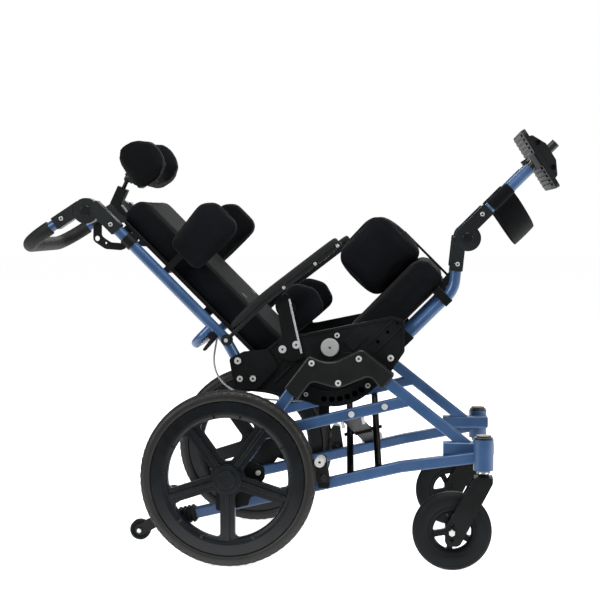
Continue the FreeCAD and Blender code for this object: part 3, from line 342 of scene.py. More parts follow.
leg_finish, leg_shade, leg_shader = material("leg_finish", coat_weight=0.3, coat_roughness=0.25)
tube_end = TUBE_END + PIVOT.dot(SEAT_FORWARD)
past_tube = leg_shade.along(SEAT_FORWARD).between(tube_end - 0.0002, tube_end)
leg_blue = leg_shade.noise(14.0).between(0.35, 0.8).mix(colour(45, 76, 116), colour(74, 108, 152))
feed(past_tube.mix(leg_blue, colour(18, 19, 20)), leg_shader, "Base Color")
feed(leg_shade.noise(60.0) * 0.16 + 0.3, leg_shader, "Roughness")
feed(rounded(leg_shade, leg_shade.noise(220.0), 0.00003, 0.0008), leg_shader, "Normal")
dress(leg_finish, "leg_tubes")

# Footplate
# One ridged black moulding across both posts; the ridges' tops carry a painted pale highlight.
FOOT_TILT = math.radians(13)
FOOT_PLACE = (644, -31)
RIDGE_DEPTH = 0.0072
foot_normal = SEAT_FORWARD * math.cos(FOOT_TILT) - SEAT_UP * math.sin(FOOT_TILT)
foot_level = seat_point(*FOOT_PLACE).dot(foot_normal)
footplate_and_ridge_highlight, foot_shade, foot_shader = material("footplate_and_ridge_highlight", specular_ior_level=0.2)
ridge_start = RIDGE_DEPTH - foot_level
ridge_highlight = (foot_shade.along(foot_normal) * -1.0).between(ridge_start, ridge_start + 0.001)
foot_black = foot_shade.noise(20.0).mix(colour(9, 11, 12), colour(26, 29, 30))
# The ridges' tops are painted pale as a highlight.
feed(ridge_highlight.mix(foot_black, colour(64, 67, 69)), foot_shader, "Base Color")
feed(foot_shade.noise(70.0) * 0.2 + 0.42, foot_shader, "Roughness")
feed(rounded(foot_shade, foot_shade.noise(400.0), 0.00005, 0.001), foot_shader, "Normal")
dress(footplate_and_ridge_highlight, "footplate")

# Rear wheels
# Five-spoke castings in charcoal with black pneumatic tyres; the tread is cut in three rows of blocks.
AXLE = Vector((-0.119, 0.266, 0.203))
rim_finish = hard_surface("rim_finish", colour(3, 6, 9), colour(22, 30, 38), 0.33, 1700.0, 0.00006,
                          specular_ior_level=0.36)
dress(rim_finish, "rear_wheel_left", "rear_wheel_right")
rubber = hard_surface("rubber", colour(21, 21, 20), colour(50, 49, 47), 0.48, 1100.0, 0.00008, wear=0.3,
                      specular_ior_level=0.34)
TYRE_STEPS = 132
TYRE_PROFILE = [(175.4, -11), (178.2, -11.5), (179.2, -16.4), (182, -18.2), (187, -19), (192, -18.6),
                (196.5, -16.5), (199.5, -12.6), (200.8, -7.4), (201.2, -2.4)]
TREAD_R = 0.1975
MIDDLE_ROW = 0.004
SECOND_ROW = 0.0105
BLOCK_GAP = 0.0007
BLOCK_RISE = 0.0017
CRISP = 32


def new_piece(mesh, name, *materials):
    data = bpy.data.meshes.new(name)
    mesh.normal_update()
    mesh.to_mesh(data)
    mesh.free()
    piece = bpy.data.objects.new(name, data)
    scene.collection.objects.link(piece)
    for made in materials:
        data.materials.append(made)
    return piece


def smooth_by_angle(piece, degrees):
    """Smooth faces, with the edges sharper than the angle kept crisp."""
    mesh = bmesh.new()
    mesh.from_mesh(piece.data)
    for face in mesh.faces:
        face.smooth = True
    for edge in mesh.edges:
        edge.smooth = edge.calc_face_angle(0.0) < math.radians(degrees)
    mesh.to_mesh(piece.data)
    mesh.free()


def tyre(name, side, body):
    """A turned tyre whose tread faces stand out in turn as blocks."""
    mesh = bmesh.new()
    halves = TYRE_PROFILE + [(radius, -y) for radius, y in reversed(TYRE_PROFILE)]
    verts = [mesh.verts.new((radius / 1000, y / 1000, 0)) for radius, y in halves]
    edges = [mesh.edges.new(pair) for pair in zip(verts, verts[1:])]
    bmesh.ops.spin(mesh, geom=verts + edges, cent=(0, 0, 0), axis=(0, 1, 0), angle=math.tau,
                   steps=TYRE_STEPS, use_merge=True)
    bmesh.ops.remove_doubles(mesh, verts=mesh.verts, dist=0.00005)
    blocks = []
    for face in mesh.faces:
        centre = face.calc_center_median()
        step = int(round((math.atan2(centre.z, centre.x) % math.tau) / math.tau * TYRE_STEPS - 0.5))
        radius = math.hypot(centre.x, centre.z)
        row = 0 if abs(centre.y) < MIDDLE_ROW else 1 if abs(centre.y) < SECOND_ROW else 2
        if radius > TREAD_R and (step + row) % 2 == 0:
            blocks.append(face)
    bmesh.ops.recalc_face_normals(mesh, faces=mesh.faces)
    bmesh.ops.inset_individual(mesh, faces=blocks, thickness=BLOCK_GAP, depth=BLOCK_RISE)
    bmesh.ops.translate(mesh, verts=mesh.verts, vec=(AXLE.x, side * AXLE.y, AXLE.z))
    piece = new_piece(mesh, name, rubber)
    smooth_by_angle(piece, CRISP)
    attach(piece, body)
    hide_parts("rear_tyre_left" if side > 0 else "rear_tyre_right")


tyre("tyre_with_tread_left", 1, "left_rear_wheel")
tyre("tyre_with_tread_right", -1, "right_rear_wheel")

# Casters and anti-tip wheels
# Solid black tyres with fine ribs, on charcoal hubs with five wedge windows.
# The anti-tip wheels are plain. The change of colour follows the hub's edge.
CASTER = Vector((0.392, 0.258, 0.090))
CASTER_EDGE = 0.055
CASTER_PROFILE = [(5.4, 17), (13.2, 17), (14, 16.4), (15.4, 9.2), (17, 8), (18.2, 7.6), (20, 7.2), (30, 6.8),
                  (40, 7.6), (41.8, 8), (43, 8.4), (45.5, 10.6), (48.5, 12), (53.4, 12.4), (54.6, 11.2),
                  (56.4, 12.4), (64, 13.8), (73, 14), (78.6, 13.4), (79.8, 12.3), (81, 12.9), (83, 12.2),
                  (84, 11), (85, 11.2), (86.8, 9.6), (87.6, 8.2), (88.4, 8.2), (89.6, 5.6), (90, 3.6)]
WINDOW = (17, 43)
SPOKES = 5
SPOKE_HALF = 6.5
SPOKE_FILLET = 2.2
FILLET_REACH = 3
SPOKE_STEPS = 4
SECTOR_STEPS = 16
FIRST_SPOKE = math.radians(118)
ANTI_TIP = (-0.331, 0.072)
ANTI_TIP_EDGE = 0.017


def wheel_finish(name, centre, edge):
    """Hub plastic inside the edge radius and rubber outside it."""
    made, shade, shader = material(name, specular_ior_level=0.14)
    outside = from_axis(shade, centre).between(edge - 0.0005, edge + 0.0005)
    hub = shade.noise(16.0).mix(colour(3, 4, 6), colour(14, 18, 22))
    tread = shade.noise(24.0).mix(colour(6, 8, 10), colour(20, 24, 27))
    feed(outside.mix(hub, tread), shader, "Base Color")
    feed(outside * 0.12 + shade.noise(60.0) * 0.12 + 0.32, shader, "Roughness")
    feed(rounded(shade, shade.noise(1300.0), 0.0001, 0.0012), shader, "Normal")
    return made


caster_finish = wheel_finish("caster_finish", (CASTER.x, CASTER.z), CASTER_EDGE)
anti_tip_finish = wheel_finish("anti_tip_finish", ANTI_TIP, ANTI_TIP_EDGE)
dress(anti_tip_finish, "anti_tip_wheel_left", "anti_tip_wheel_right")


def caster_turn(radius, step):
    """The angle of a step round the wheel; spokes keep their width and widen into hub and rim."""
    sector, part = divmod(step, SECTOR_STEPS)
    near = min(max(radius, WINDOW[0]), WINDOW[1])
    to_end = min(near - WINDOW[0], WINDOW[1] - near)
    fillet = SPOKE_FILLET * max(0.0, 1 - to_end / FILLET_REACH) ** 2
    half = math.asin((SPOKE_HALF + fillet) / near)
    pitch = math.tau / SPOKES
    if part <= SPOKE_STEPS:
        turn = half * (2 * part / SPOKE_STEPS - 1)
    else:
        turn = half + (pitch - 2 * half) * (part - SPOKE_STEPS) / (SECTOR_STEPS - SPOKE_STEPS)
    return FIRST_SPOKE + sector * pitch + turn


def caster(name, side, body, node):
    """Two faces of the wheel, open at the windows, joined by walls along every free edge."""
    mesh = bmesh.new()
    count = SPOKES * SECTOR_STEPS
    opposite = {}
    faces = ([], [])
    for radius, half in CASTER_PROFILE:
        turns = [caster_turn(radius, step) for step in range(count)]
        circle = [(CASTER.x + radius / 1000 * math.cos(turn), CASTER.z + radius / 1000 * math.sin(turn))
                  for turn in turns]
        for rings, out in zip(faces, (-half, half)):
            rings.append([mesh.verts.new((x, side * CASTER.y + out / 1000, z)) for x, z in circle])
        opposite.update(zip(faces[0][-1], faces[1][-1]))
    for i in range(len(CASTER_PROFILE) - 1):
        in_window = WINDOW[0] <= CASTER_PROFILE[i][0] and CASTER_PROFILE[i + 1][0] <= WINDOW[1]
        for step in range(count):
            if in_window and step % SECTOR_STEPS >= SPOKE_STEPS:
                continue
            after = (step + 1) % count
            for rings in faces:
                mesh.faces.new((rings[i][step], rings[i][after], rings[i + 1][after], rings[i + 1][step]))
    free_edges = [edge for edge in mesh.edges if edge.is_boundary and edge.verts[0] in opposite]
    for edge in free_edges:
        first, second = edge.verts
        mesh.faces.new((first, second, opposite[second], opposite[first]))
    loose = [vert for vert in mesh.verts if not vert.link_faces]
    bmesh.ops.delete(mesh, geom=loose, context="VERTS")
    bmesh.ops.recalc_face_normals(mesh, faces=mesh.faces)
    piece = new_piece(mesh, name, caster_finish)
    smooth_by_angle(piece, CRISP)
    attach(piece, body)
    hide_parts(node)


caster("caster_with_windows_left", 1, "left_caster_wheel", "caster_wheel_left")
caster("caster_with_windows_right", -1, "right_caster_wheel", "caster_wheel_right")

# Seat and back cushions, side pads, hip pads and pommel
# Foam in black stretch cloth: smooth on the faces, ribbed spacer mesh on the sides, swelled by pressure.
STEPS_PER_CORNER = 5
VOXEL = 0.006
FRAMES = 20
GROW = 3.5
PRESSURE = 4.0
SEAM_DEPTH = 0.0018
SEAM_WIDTH = 0.007


def weave(name, dark, light, thread, depth, sheen):
    """Knitted black cloth: fine ribs one way crossed by finer threads the other."""
    made, shade, shader = material(name, sheen_weight=sheen, sheen_roughness=0.5, specular_ior_level=0.12)
    first = (shade.along(SEAT_FORWARD) * (math.tau / thread)).math("SINE")
    second = (shade.along(SEAT_UP) * (math.tau / thread)).math("SINE")
    third = (shade.along((0, 1, 0)) * (math.tau / thread)).math("SINE")
    threads = first * second + second * third + first * third
    patches = shade.noise(9.0).between(0.3, 0.75)
    feed((threads * 0.1 + patches * 0.6).math("MAXIMUM", 0.0).mix(dark, light), shader, "Base Color")
    feed(shade.noise(30.0) * 0.12 + 0.78, shader, "Roughness")
    crease = shade.noise(22.0, 4.0) * 3.0
    feed(shade.add("ShaderNodeBump", {"Height": threads + crease, "Distance": depth, "Strength": 0.7}),
         shader, "Normal")
    return made


black_cloth = weave("black_cloth", colour(1, 2, 3), colour(9, 11, 16), 0.0016, 0.00005, 0.04)
spacer_mesh = weave("spacer_mesh", colour(2, 3, 6), colour(16, 20, 27), 0.0034, 0.0004, 0.03)


def rounded_outline(points, grow=0.0):
    """Points round an outline whose corners, given as (x, y, radius), are arcs, moved outwards by grow."""
    ring = []
    count = len(points)
    area = sum(p[0] * q[1] - q[0] * p[1] for p, q in zip(points, points[1:] + points[:1]))
    for i, (x, y, radius) in enumerate(points):
        here = Vector((x, y))
        back = (Vector(points[i - 1][:2]) - here).normalized()
        ahead = (Vector(points[(i + 1) % count][:2]) - here).normalized()
        half = back.angle(ahead) / 2
        convex = (ahead.x * back.y - ahead.y * back.x) * area > 0
        reach = radius + (grow if convex else -grow)
        centre = here + (back + ahead).normalized() * (radius / math.sin(half))
        first = here + back * (radius / math.tan(half)) - centre
        last = here + ahead * (radius / math.tan(half)) - centre
        for step in range(STEPS_PER_CORNER + 1):
            spoke = first.lerp(last, step / STEPS_PER_CORNER).normalized()
            ring.append(centre + spoke * reach)
    return ring


def padding(name, outline, low, high, edge, place):
    """A closed pad of an outline and two ends, its rims beveled, set by place(first, second, third)."""
    low, high = low - GROW, high + GROW
    mesh = bmesh.new()
    verts = [mesh.verts.new((point.x, point.y, low)) for point in rounded_outline(outline, GROW)]
    bottom = mesh.faces.new(verts)
    lifted = bmesh.ops.extrude_face_region(mesh, geom=[bottom])["geom"]
    top = [item for item in lifted if isinstance(item, bmesh.types.BMVert)]
    bmesh.ops.translate(mesh, verts=top, vec=(0, 0, high - low))
    rims = [e for e in mesh.edges if abs(e.verts[0].co.z - e.verts[1].co.z) < 1e-6]
    bmesh.ops.bevel(mesh, geom=rims, offset=edge, offset_type="OFFSET", segments=4, profile=0.5,
                    affect="EDGES", material=-1)
    for vert in mesh.verts:
        vert.co = place(*vert.co)
    bmesh.ops.recalc_face_normals(mesh, faces=mesh.faces)
    return new_piece(mesh, name, black_cloth, spacer_mesh)


def applied(piece):
    """Puts the result of a piece's modifiers into its mesh."""
    made = bpy.data.meshes.new_from_object(piece.evaluated_get(bpy.context.evaluated_depsgraph_get()))
    piece.modifiers.clear()
    piece.data = made


def swell(piece, cap):
    """Even small faces, cloth under pressure for a few frames, and every point held within the cap."""
    remesh = piece.modifiers.new("even", "REMESH")
    remesh.mode = "VOXEL"
    remesh.voxel_size = VOXEL
    applied(piece)
    start = [vert.co.copy() for vert in piece.data.vertices]
    cloth = piece.modifiers.new("cloth", "CLOTH")
    cloth.settings.use_pressure = True
    cloth.settings.uniform_pressure_force = PRESSURE
    cloth.settings.effector_weights.gravity = 0
    cloth.settings.quality = 4
    cloth.point_cache.frame_start = 1
    cloth.point_cache.frame_end = FRAMES
    for step in range(1, FRAMES + 1):
        scene.frame_set(step)
    applied(piece)
    for vert, before in zip(piece.data.vertices, start):
        shift = vert.co - before
        if shift.length > cap:
            vert.co = before + shift.normalized() * cap
    scene.frame_set(1)


def sewn(piece, lines):
    """Draws the cloth in along seams; each line gives a point's distance from its seam, in metres."""
    mesh = bmesh.new()
    mesh.from_mesh(piece.data)
    mesh.normal_update()
    for vert in mesh.verts:
        near = min(abs(line(vert.co)) for line in lines)
        if near < SEAM_WIDTH:
            vert.co -= vert.normal * (SEAM_DEPTH * (1 - near / SEAM_WIDTH) ** 2)
    for face in mesh.faces:
        face.smooth = True
    mesh.to_mesh(piece.data)
    mesh.free()
    finer = piece.modifiers.new("finer", "SUBSURF")
    finer.levels = 1
    finer.render_levels = 1


def side_panels(piece, side):
    """Spacer mesh on the faces that look sideways, smooth cloth on the rest."""
    for face in piece.data.polygons:
        face.material_index = 1 if abs(face.normal.y) > side else 0


def from_seat(point, direction, offset):
    """Distance of a point from a plane square to a seat direction, in metres."""
    return (point - PIVOT).dot(direction) - offset / 1000


def trimmed(piece, cutter):
    """Keeps what a piece shares with another, which is then removed."""
    keep = piece.modifiers.new("keep", "BOOLEAN")
    keep.operation = "INTERSECT"
    keep.solver = "EXACT"
    keep.object = cutter
    applied(piece)
    bpy.data.objects.remove(cutter)


def pad(name, outline, low, high, edge, cap, body, node, seams, place=seat_point, panel=0.8, trim=None):
    """A swelled and sewn pad that stands for a node; seams are given as for sewn."""
    piece = padding(name, outline, low, high, edge, place)
    if trim:
        trimmed(piece, trim)
    swell(piece, cap)
    side_panels(piece, panel)
    sewn(piece, seams)
    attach(piece, body)
    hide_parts(node)


def plane(direction, offset):
    return lambda point: from_seat(point, direction, offset)


ACROSS = Vector((0, 1, 0))
pad("seat_cushion_cover", [(-72, -73, 9), (296, -73, 14), (296, -3, 22), (-72, -8, 10)], -165, 165, 9,
    0.004, "seat", "seat_cushion",
    [plane(SEAT_UP, -12), plane(SEAT_UP, -66), plane(ACROSS, 150), plane(ACROSS, -150)])
pad("back_cushion_cover", [(-136, 15, 12), (-80, 15, 16), (-80, 565, 18), (-136, 565, 12)], -150, 150, 10,
    0.004, "seat", "back_cushion",
    [plane(ACROSS, 136), plane(ACROSS, -136), plane(SEAT_FORWARD, -92), plane(SEAT_FORWARD, -130)])
for side, name in ((1, "left"), (-1, "right")):
    low, high = sorted((side * 156, side * 186.5))
    pad("lateral_pad_%s" % name,
        [(-98, 348, 14), (-98, 432, 14), (20, 446, 22), (44, 424, 18), (44, 346, 22)], low, high, 9, 0.003,
        "seat", "lateral_pads", [plane(ACROSS, side * 181), plane(ACROSS, side * 163)])
    low, high = sorted((side * 142, side * 168))
    pad("hip_pad_%s" % name,
        [(-45, 80, 18), (-30, 164, 24), (40, 164, 24), (64, 120, 24), (50, 74, 20)], low, high, 9, 0.003,
        "seat", "hip_pads", [plane(ACROSS, side * 163), plane(ACROSS, side * 149)])
pad("pommel_cover", [(146, 4.5, 22), (146, 142, 30), (284, 146, 24), (297, 110, 24), (297, 4.5, 16)],
    -62, 62, 14, 0.004, "pommel", "pommel_pad",
    [plane(SEAT_FORWARD, 284), plane(ACROSS, 46), plane(ACROSS, -46)])

# Head support
# Contoured pad with two wings in the same cloth, on a grey moulded back plate with the ball socket.
HEAD_TURN = math.radians(14)
HEAD_CENTRE = (-20, 628)
HEAD_LOW = 576
HEAD_HIGH = 680
HEAD_SEAM = 0.042
SHELL_FRONT = -61.5
SHELL_BACK = -70
BOSS_PLACE = (-77.5, 624.6)
half_head = [(-62, 96, 26), (-40, 108, 16), (28, 108, 16), (28, 74, 16), (-18, 66, 30), (-34, 30, 20)]
head_outline = half_head + [(x, -y, radius) for x, y, radius in reversed(half_head)]
head_side = [(-62, HEAD_LOW, 30), (28, HEAD_LOW, 46), (28, HEAD_HIGH, 50), (-62, HEAD_HIGH, 30)]


def head_place(forward, y, up):
    """A place on the head support, which is turned a little in the seat's side view."""
    dx, dz = forward - HEAD_CENTRE[0], up - HEAD_CENTRE[1]
    turned_x = dx * math.cos(HEAD_TURN) + dz * math.sin(HEAD_TURN)
    turned_z = dz * math.cos(HEAD_TURN) - dx * math.sin(HEAD_TURN)
    return seat_point(HEAD_CENTRE[0] + turned_x, HEAD_CENTRE[1] + turned_z, y)


head_up = (head_place(0, 0, 700) - head_place(0, 0, 600)).normalized()
head_mid = head_place(0, 0, HEAD_CENTRE[1]).dot(head_up)
head_trim = padding("head_trim", head_side, -120, 120, 2, lambda forward, up, y: head_place(forward, y, up))
pad("head_support_cover", head_outline, HEAD_LOW, HEAD_HIGH, 4, 0.004, "headrest", "headrest_pad",
    [lambda point: point.dot(head_up) - head_mid - HEAD_SEAM,
     lambda point: point.dot(head_up) - head_mid + HEAD_SEAM],
    place=head_place, panel=2.0, trim=head_trim)

shell_mesh = bmesh.new()
plate_ring = rounded_outline([(-42, 588, 14), (42, 588, 14), (42, 668, 14), (-42, 668, 14)])
shell_verts = [shell_mesh.verts.new(head_place(SHELL_FRONT, point.x, point.y)) for point in plate_ring]
shell_face = shell_mesh.faces.new(shell_verts)
shell_lift = bmesh.ops.extrude_face_region(shell_mesh, geom=[shell_face])["geom"]
shell_top = [item for item in shell_lift if isinstance(item, bmesh.types.BMVert)]
shell_back = head_place(SHELL_BACK, 0, HEAD_CENTRE[1]) - head_place(SHELL_FRONT, 0, HEAD_CENTRE[1])
bmesh.ops.translate(shell_mesh, verts=shell_top, vec=shell_back)
boss = bmesh.ops.create_cone(shell_mesh, cap_ends=True, segments=32, radius1=0.017, radius2=0.0145,
                             depth=0.016)
boss_turn = shell_back.to_track_quat("Z", "Y").to_matrix().to_4x4()
boss_place = Matrix.Translation(head_place(BOSS_PLACE[0], 0, BOSS_PLACE[1])) @ boss_turn
bmesh.ops.transform(shell_mesh, verts=boss["verts"], matrix=boss_place)
bmesh.ops.recalc_face_normals(shell_mesh, faces=shell_mesh.faces)
head_shell = new_piece(shell_mesh, "head_support_shell", smooth_plastic)
smooth_by_angle(head_shell, 35)
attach(head_shell, "headrest")

# Calf strap
# A wide padded band slung between the leg tubes, sewn into a loop round each tube.
# It hangs a little towards the knees.
STRAP_START = 488.0
STRAP_END = 551.0
LEG_Y = 165.0
LEG_UP = -31.0
TUBE_R = 12.7
BAND_GAP = 2.4
STRAP_LEAN = 0.21
STRAP_COLUMNS = 9
STRAP_THICK = 0.003


def strap_line():
    """Half of the band's middle line, from the outer side of a tube round it and down to the centre."""
    line = []
    for step in range(19):
        turn = math.radians(205 - 20 * step)
        line.append((LEG_Y + (TUBE_R + BAND_GAP) * math.cos(turn),
                     LEG_UP + (TUBE_R + BAND_GAP) * math.sin(turn)))
    sag = [(146, -62), (138, -86), (122, -108), (98, -124), (66, -134), (34, -138.5), (0, -140)]
    return line + sag


strap_mesh = bmesh.new()
half_line = strap_line()
full_line = half_line + [(-y, up) for y, up in reversed(half_line[:-1])]
grid = []
for y, up in full_line:
    row = []
    drop = min(0.0, up - LEG_UP + TUBE_R + BAND_GAP)
    for column in range(STRAP_COLUMNS):
        share = column / (STRAP_COLUMNS - 1)
        bow = 0.8 * math.sin(share * math.pi) * (1 - abs(y) / 200)
        forward = STRAP_START + (STRAP_END - STRAP_START) * share + drop * STRAP_LEAN
        row.append(strap_mesh.verts.new(seat_point(forward, up - bow, y)))
    grid.append(row)
for first, second in zip(grid, grid[1:]):
    for i in range(STRAP_COLUMNS - 1):
        strap_mesh.faces.new((first[i], first[i + 1], second[i + 1], second[i]))
bmesh.ops.recalc_face_normals(strap_mesh, faces=strap_mesh.faces)
bmesh.ops.solidify(strap_mesh, geom=strap_mesh.faces[:], thickness=STRAP_THICK)
for face in strap_mesh.faces:
    face.smooth = True
strap = new_piece(strap_mesh, "calf_strap_band", black_cloth)
strap_finer = strap.modifiers.new("finer", "SUBSURF")
strap_finer.levels = 1
strap_finer.render_levels = 1
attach(strap, "legrest")
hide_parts("calf_strap")

# Arm pads and push grip
# Dense black foam: long pads on the arm bars and a continuous tube round the push bar.
foam = hard_surface("foam", colour(10, 11, 12), colour(32, 34, 35), 0.66, 700.0, 0.00025, wear=0.2,
                    specular_ior_level=0.3)
ARM_Y = 217.0
ARM_LINE = [(-130, 192.9), (-98, 192.8), (-66, 192.4), (-40, 191.2), (-18, 189.2), (16, 185.1), (60, 179.3),
            (120, 171.4), (180, 163.4), (188, 162.4)]
ARM_HALF_WIDTH = 12.2
ARM_HALF_HEIGHT = 9.6
ARM_STEPS = 20


def arm_section(index, scale):
    """A rounded section of the pad round one point of its line, flat below and crowned above."""
    x, z = ARM_LINE[index]
    before = ARM_LINE[max(index - 1, 0)]
    after = ARM_LINE[min(index + 1, len(ARM_LINE) - 1)]
    slope = math.atan2(after[1] - before[1], after[0] - before[0])
    ring = []
    for step in range(ARM_STEPS):
        turn = math.tau * step / ARM_STEPS
        wide = math.copysign(abs(math.cos(turn)) ** 0.55, math.cos(turn)) * ARM_HALF_WIDTH * scale
        high = math.copysign(abs(math.sin(turn)) ** 0.6, math.sin(turn)) * ARM_HALF_HEIGHT * scale
        ring.append((x - high * math.sin(slope), z + high * math.cos(slope), wide))
    return ring


def arm_pad(name, side, body, node):
    """A pad lofted along the arm line, drawn in at both ends."""
    mesh = bmesh.new()
    sections = [(0, 0.72)] + [(i, 1.0) for i in range(1, len(ARM_LINE) - 1)] + [(len(ARM_LINE) - 1, 0.74)]
    rings = []
    for index, scale in sections:
        ring = [mesh.verts.new(seat_point(x, z, side * (ARM_Y + wide)))
                for x, z, wide in arm_section(index, scale)]
        rings.append(ring)
    for first, second in zip(rings, rings[1:]):
        for i in range(len(first)):
            j = (i + 1) % len(first)
            mesh.faces.new((first[i], first[j], second[j], second[i]))
    mesh.faces.new(rings[0])
    mesh.faces.new(rings[-1])
    bmesh.ops.recalc_face_normals(mesh, faces=mesh.faces)
    for face in mesh.faces:
        face.smooth = True
    piece = new_piece(mesh, name, foam)
    finer = piece.modifiers.new("finer", "SUBSURF")
    finer.levels = 1
    finer.render_levels = 2
    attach(piece, body)
    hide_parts(node)


arm_pad("arm_pad_foam_left", 1, "left_armrest", "arm_pad_left")
arm_pad("arm_pad_foam_right", -1, "right_armrest", "arm_pad_right")

HANDLE_TURN = math.radians(168)
HANDLE_HUB = (-182.0, 626.0)
HANDLE_OFFSET = 15.0
GRIP_START = 93.0
GRIP_END = 172.0
GRIP_BEND = 72.0
GRIP_R = 17.0
GRIP_Y = 190.0
GRIP_STEPS = 24
BEND_STEPS = 12


def grip_point(step, y):
    """A place in the push bar's plane, a step along the handle from its hinge."""
    along = (math.cos(HANDLE_TURN), math.sin(HANDLE_TURN))
    side = (math.sin(HANDLE_TURN), -math.cos(HANDLE_TURN))
    return seat_point(HANDLE_HUB[0] + side[0] * HANDLE_OFFSET + along[0] * step,
                      HANDLE_HUB[1] + side[1] * HANDLE_OFFSET + along[1] * step, y)


grip_path = [(GRIP_START + 1.5, GRIP_Y), (GRIP_START + 3.5, GRIP_Y)]
for step in range(BEND_STEPS + 1):
    turn = math.pi / 2 * step / BEND_STEPS
    grip_path.append((GRIP_END - GRIP_BEND + GRIP_BEND * math.sin(turn),
                      GRIP_Y - GRIP_BEND + GRIP_BEND * math.cos(turn)))
grip_path += [(GRIP_END, y) for y in (90, 60, 30)]
grip_path += [(GRIP_END, 0)] + [(step, -y) for step, y in reversed(grip_path)]
grip_points = [grip_point(step, y) for step, y in grip_path]
grip_mesh = bmesh.new()
grip_normal = (grip_point(0, 0) - grip_point(100, 0)).cross(Vector((0, 1, 0))).normalized()
grip_rings = []
for i, point in enumerate(grip_points):
    ahead = (grip_points[min(i + 1, len(grip_points) - 1)] - grip_points[max(i - 1, 0)]).normalized()
    out = ahead.cross(grip_normal).normalized()
    size = GRIP_R / 1000 * (0.9 if i in (0, len(grip_points) - 1) else 1.0)
    turns = [math.tau * k / GRIP_STEPS for k in range(GRIP_STEPS)]
    spokes = [out * math.cos(turn) + grip_normal * math.sin(turn) for turn in turns]
    grip_rings.append([grip_mesh.verts.new(point + spoke * size) for spoke in spokes])
for first, second in zip(grip_rings, grip_rings[1:]):
    for i in range(GRIP_STEPS):
        j = (i + 1) % GRIP_STEPS
        grip_mesh.faces.new((first[i], first[j], second[j], second[i]))
grip_mesh.faces.new(grip_rings[0])
grip_mesh.faces.new(grip_rings[-1])
bmesh.ops.recalc_face_normals(grip_mesh, faces=grip_mesh.faces)
grip = new_piece(grip_mesh, "push_grip_foam", foam)
smooth_by_angle(grip, 40)
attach(grip, "push_handle")
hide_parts("foam_grip")

# Small bright parts
# Rivets along the arm bars, painted highlights along the hip bars' edges, nuts, hinge screws,
# painted shade in the sockets of the bolt heads and inside holes, and the snaps of the back cover.
RIVETS = [(23, 172), (113, 160), (178, 153)]
RIVET_Y = 225.6
HIP_EDGE = [(-64, 26), (18, 156)]
HIP_EDGE_Y = 0.2049
HIP_EDGE_SIZE = (0.0022, 0.0046)
HIP_EDGE_SHARE = 0.84
SNAPS = [(-73.5, 230, 88), (-73.5, 230, -88)]
SOCKETS = {"base": [(-40, 466, 243.5), (68, 477, 243.5), (21, 421, 243.5)],
           "seat": [(-175, 128, 210.5), (-201, 95, 210.5), (-179, 74, 210.5), (-82, 74, 208.5),
                    (-52, 59, 208.5), (81, -116, 201.5), (-1, -124, 201.5), (-118, -38, 201.5),
                    (30, 8, 201.5), (0, 0, 218.1)]}
# Bright metal for rivets, nuts and screws, also used for painted highlights on the hip bars' edges.
polished_and_highlight = hard_surface("polished_and_highlight", colour(196, 198, 198), colour(240, 241, 241), 0.22, 500.0, 0.00002,
                        metallic=0.5)
# Near-black hexagons and discs painted as the shade inside screw sockets and holes.
socket_and_hole_shade = hard_surface("socket_and_hole_shade", colour(8, 8, 9), colour(30, 31, 33), 0.5, 900.0, 0.00005)


def small_disc(mesh, place, axis, radius, depth, segments):
    """A flat head, a little narrower outside, square to an axis; six segments make a hexagon."""
    made = bmesh.ops.create_cone(mesh, cap_ends=True, segments=segments, radius1=radius,
                                 radius2=radius * 0.86, depth=depth)
    turn = axis.to_track_quat("Z", "Y").to_matrix().to_4x4()
    bmesh.ops.transform(mesh, verts=made["verts"], matrix=Matrix.Translation(place) @ turn)


def finish_small(mesh, name, finish, body):
    """Makes a group of small discs into a piece of its body."""
    bmesh.ops.recalc_face_normals(mesh, faces=mesh.faces)
    piece = new_piece(mesh, name, finish)
    smooth_by_angle(piece, 35)
    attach(piece, body)


for side, name in ((1, "left"), (-1, "right")):
    mesh = bmesh.new()
    for forward, up in RIVETS:
        small_disc(mesh, seat_point(forward, up, side * RIVET_Y), Vector((0, side, 0)), 0.0042, 0.0024, 20)
    finish_small(mesh, "arm_rivets_%s" % name, polished_and_highlight, "%s_armrest" % name)

# Bright strips along the hip bars' edges are painted highlights.
mesh = bmesh.new()
strip_start, strip_end = (seat_point(*spot) for spot in HIP_EDGE)
strip_length = (strip_end - strip_start).length * HIP_EDGE_SHARE
strip_turn = (strip_end - strip_start).to_track_quat("Z", "Y").to_matrix().to_4x4()
for side in (1, -1):
    made = bmesh.ops.create_cube(mesh, size=1.0)
    bmesh.ops.scale(mesh, verts=made["verts"], vec=(*HIP_EDGE_SIZE, strip_length))
    middle = (strip_start + strip_end) / 2 + Vector((0, side * HIP_EDGE_Y, 0))
    bmesh.ops.transform(mesh, verts=made["verts"], matrix=Matrix.Translation(middle) @ strip_turn)
finish_small(mesh, "hip_bar_edge_highlights", polished_and_highlight, "seat")

STEM = (0.462, 0.258, 0.2255)
FORK_NUT_Y = 0.288
ANTI_TIP_NUT_Y = 0.2412
for side, name in ((1, "left"), (-1, "right")):
    mesh = bmesh.new()
    small_disc(mesh, Vector((STEM[0], side * STEM[1], STEM[2])), Vector((0, 0, 1)), 0.0165, 0.0064, 36)
    anti_tip_nut = Vector((ANTI_TIP[0], side * ANTI_TIP_NUT_Y, ANTI_TIP[1]))
    small_disc(mesh, anti_tip_nut, Vector((0, side, 0)), 0.0062, 0.004, 6)
    finish_small(mesh, "base_nut_and_ring_%s" % name, polished_and_highlight, "base")
    mesh = bmesh.new()
    fork_nut = Vector((CASTER.x, side * FORK_NUT_Y, CASTER.z))
    small_disc(mesh, fork_nut, Vector((0, side, 0)), 0.0086, 0.005, 6)
    finish_small(mesh, "fork_nut_%s" % name, polished_and_highlight, "%s_caster_fork" % name)

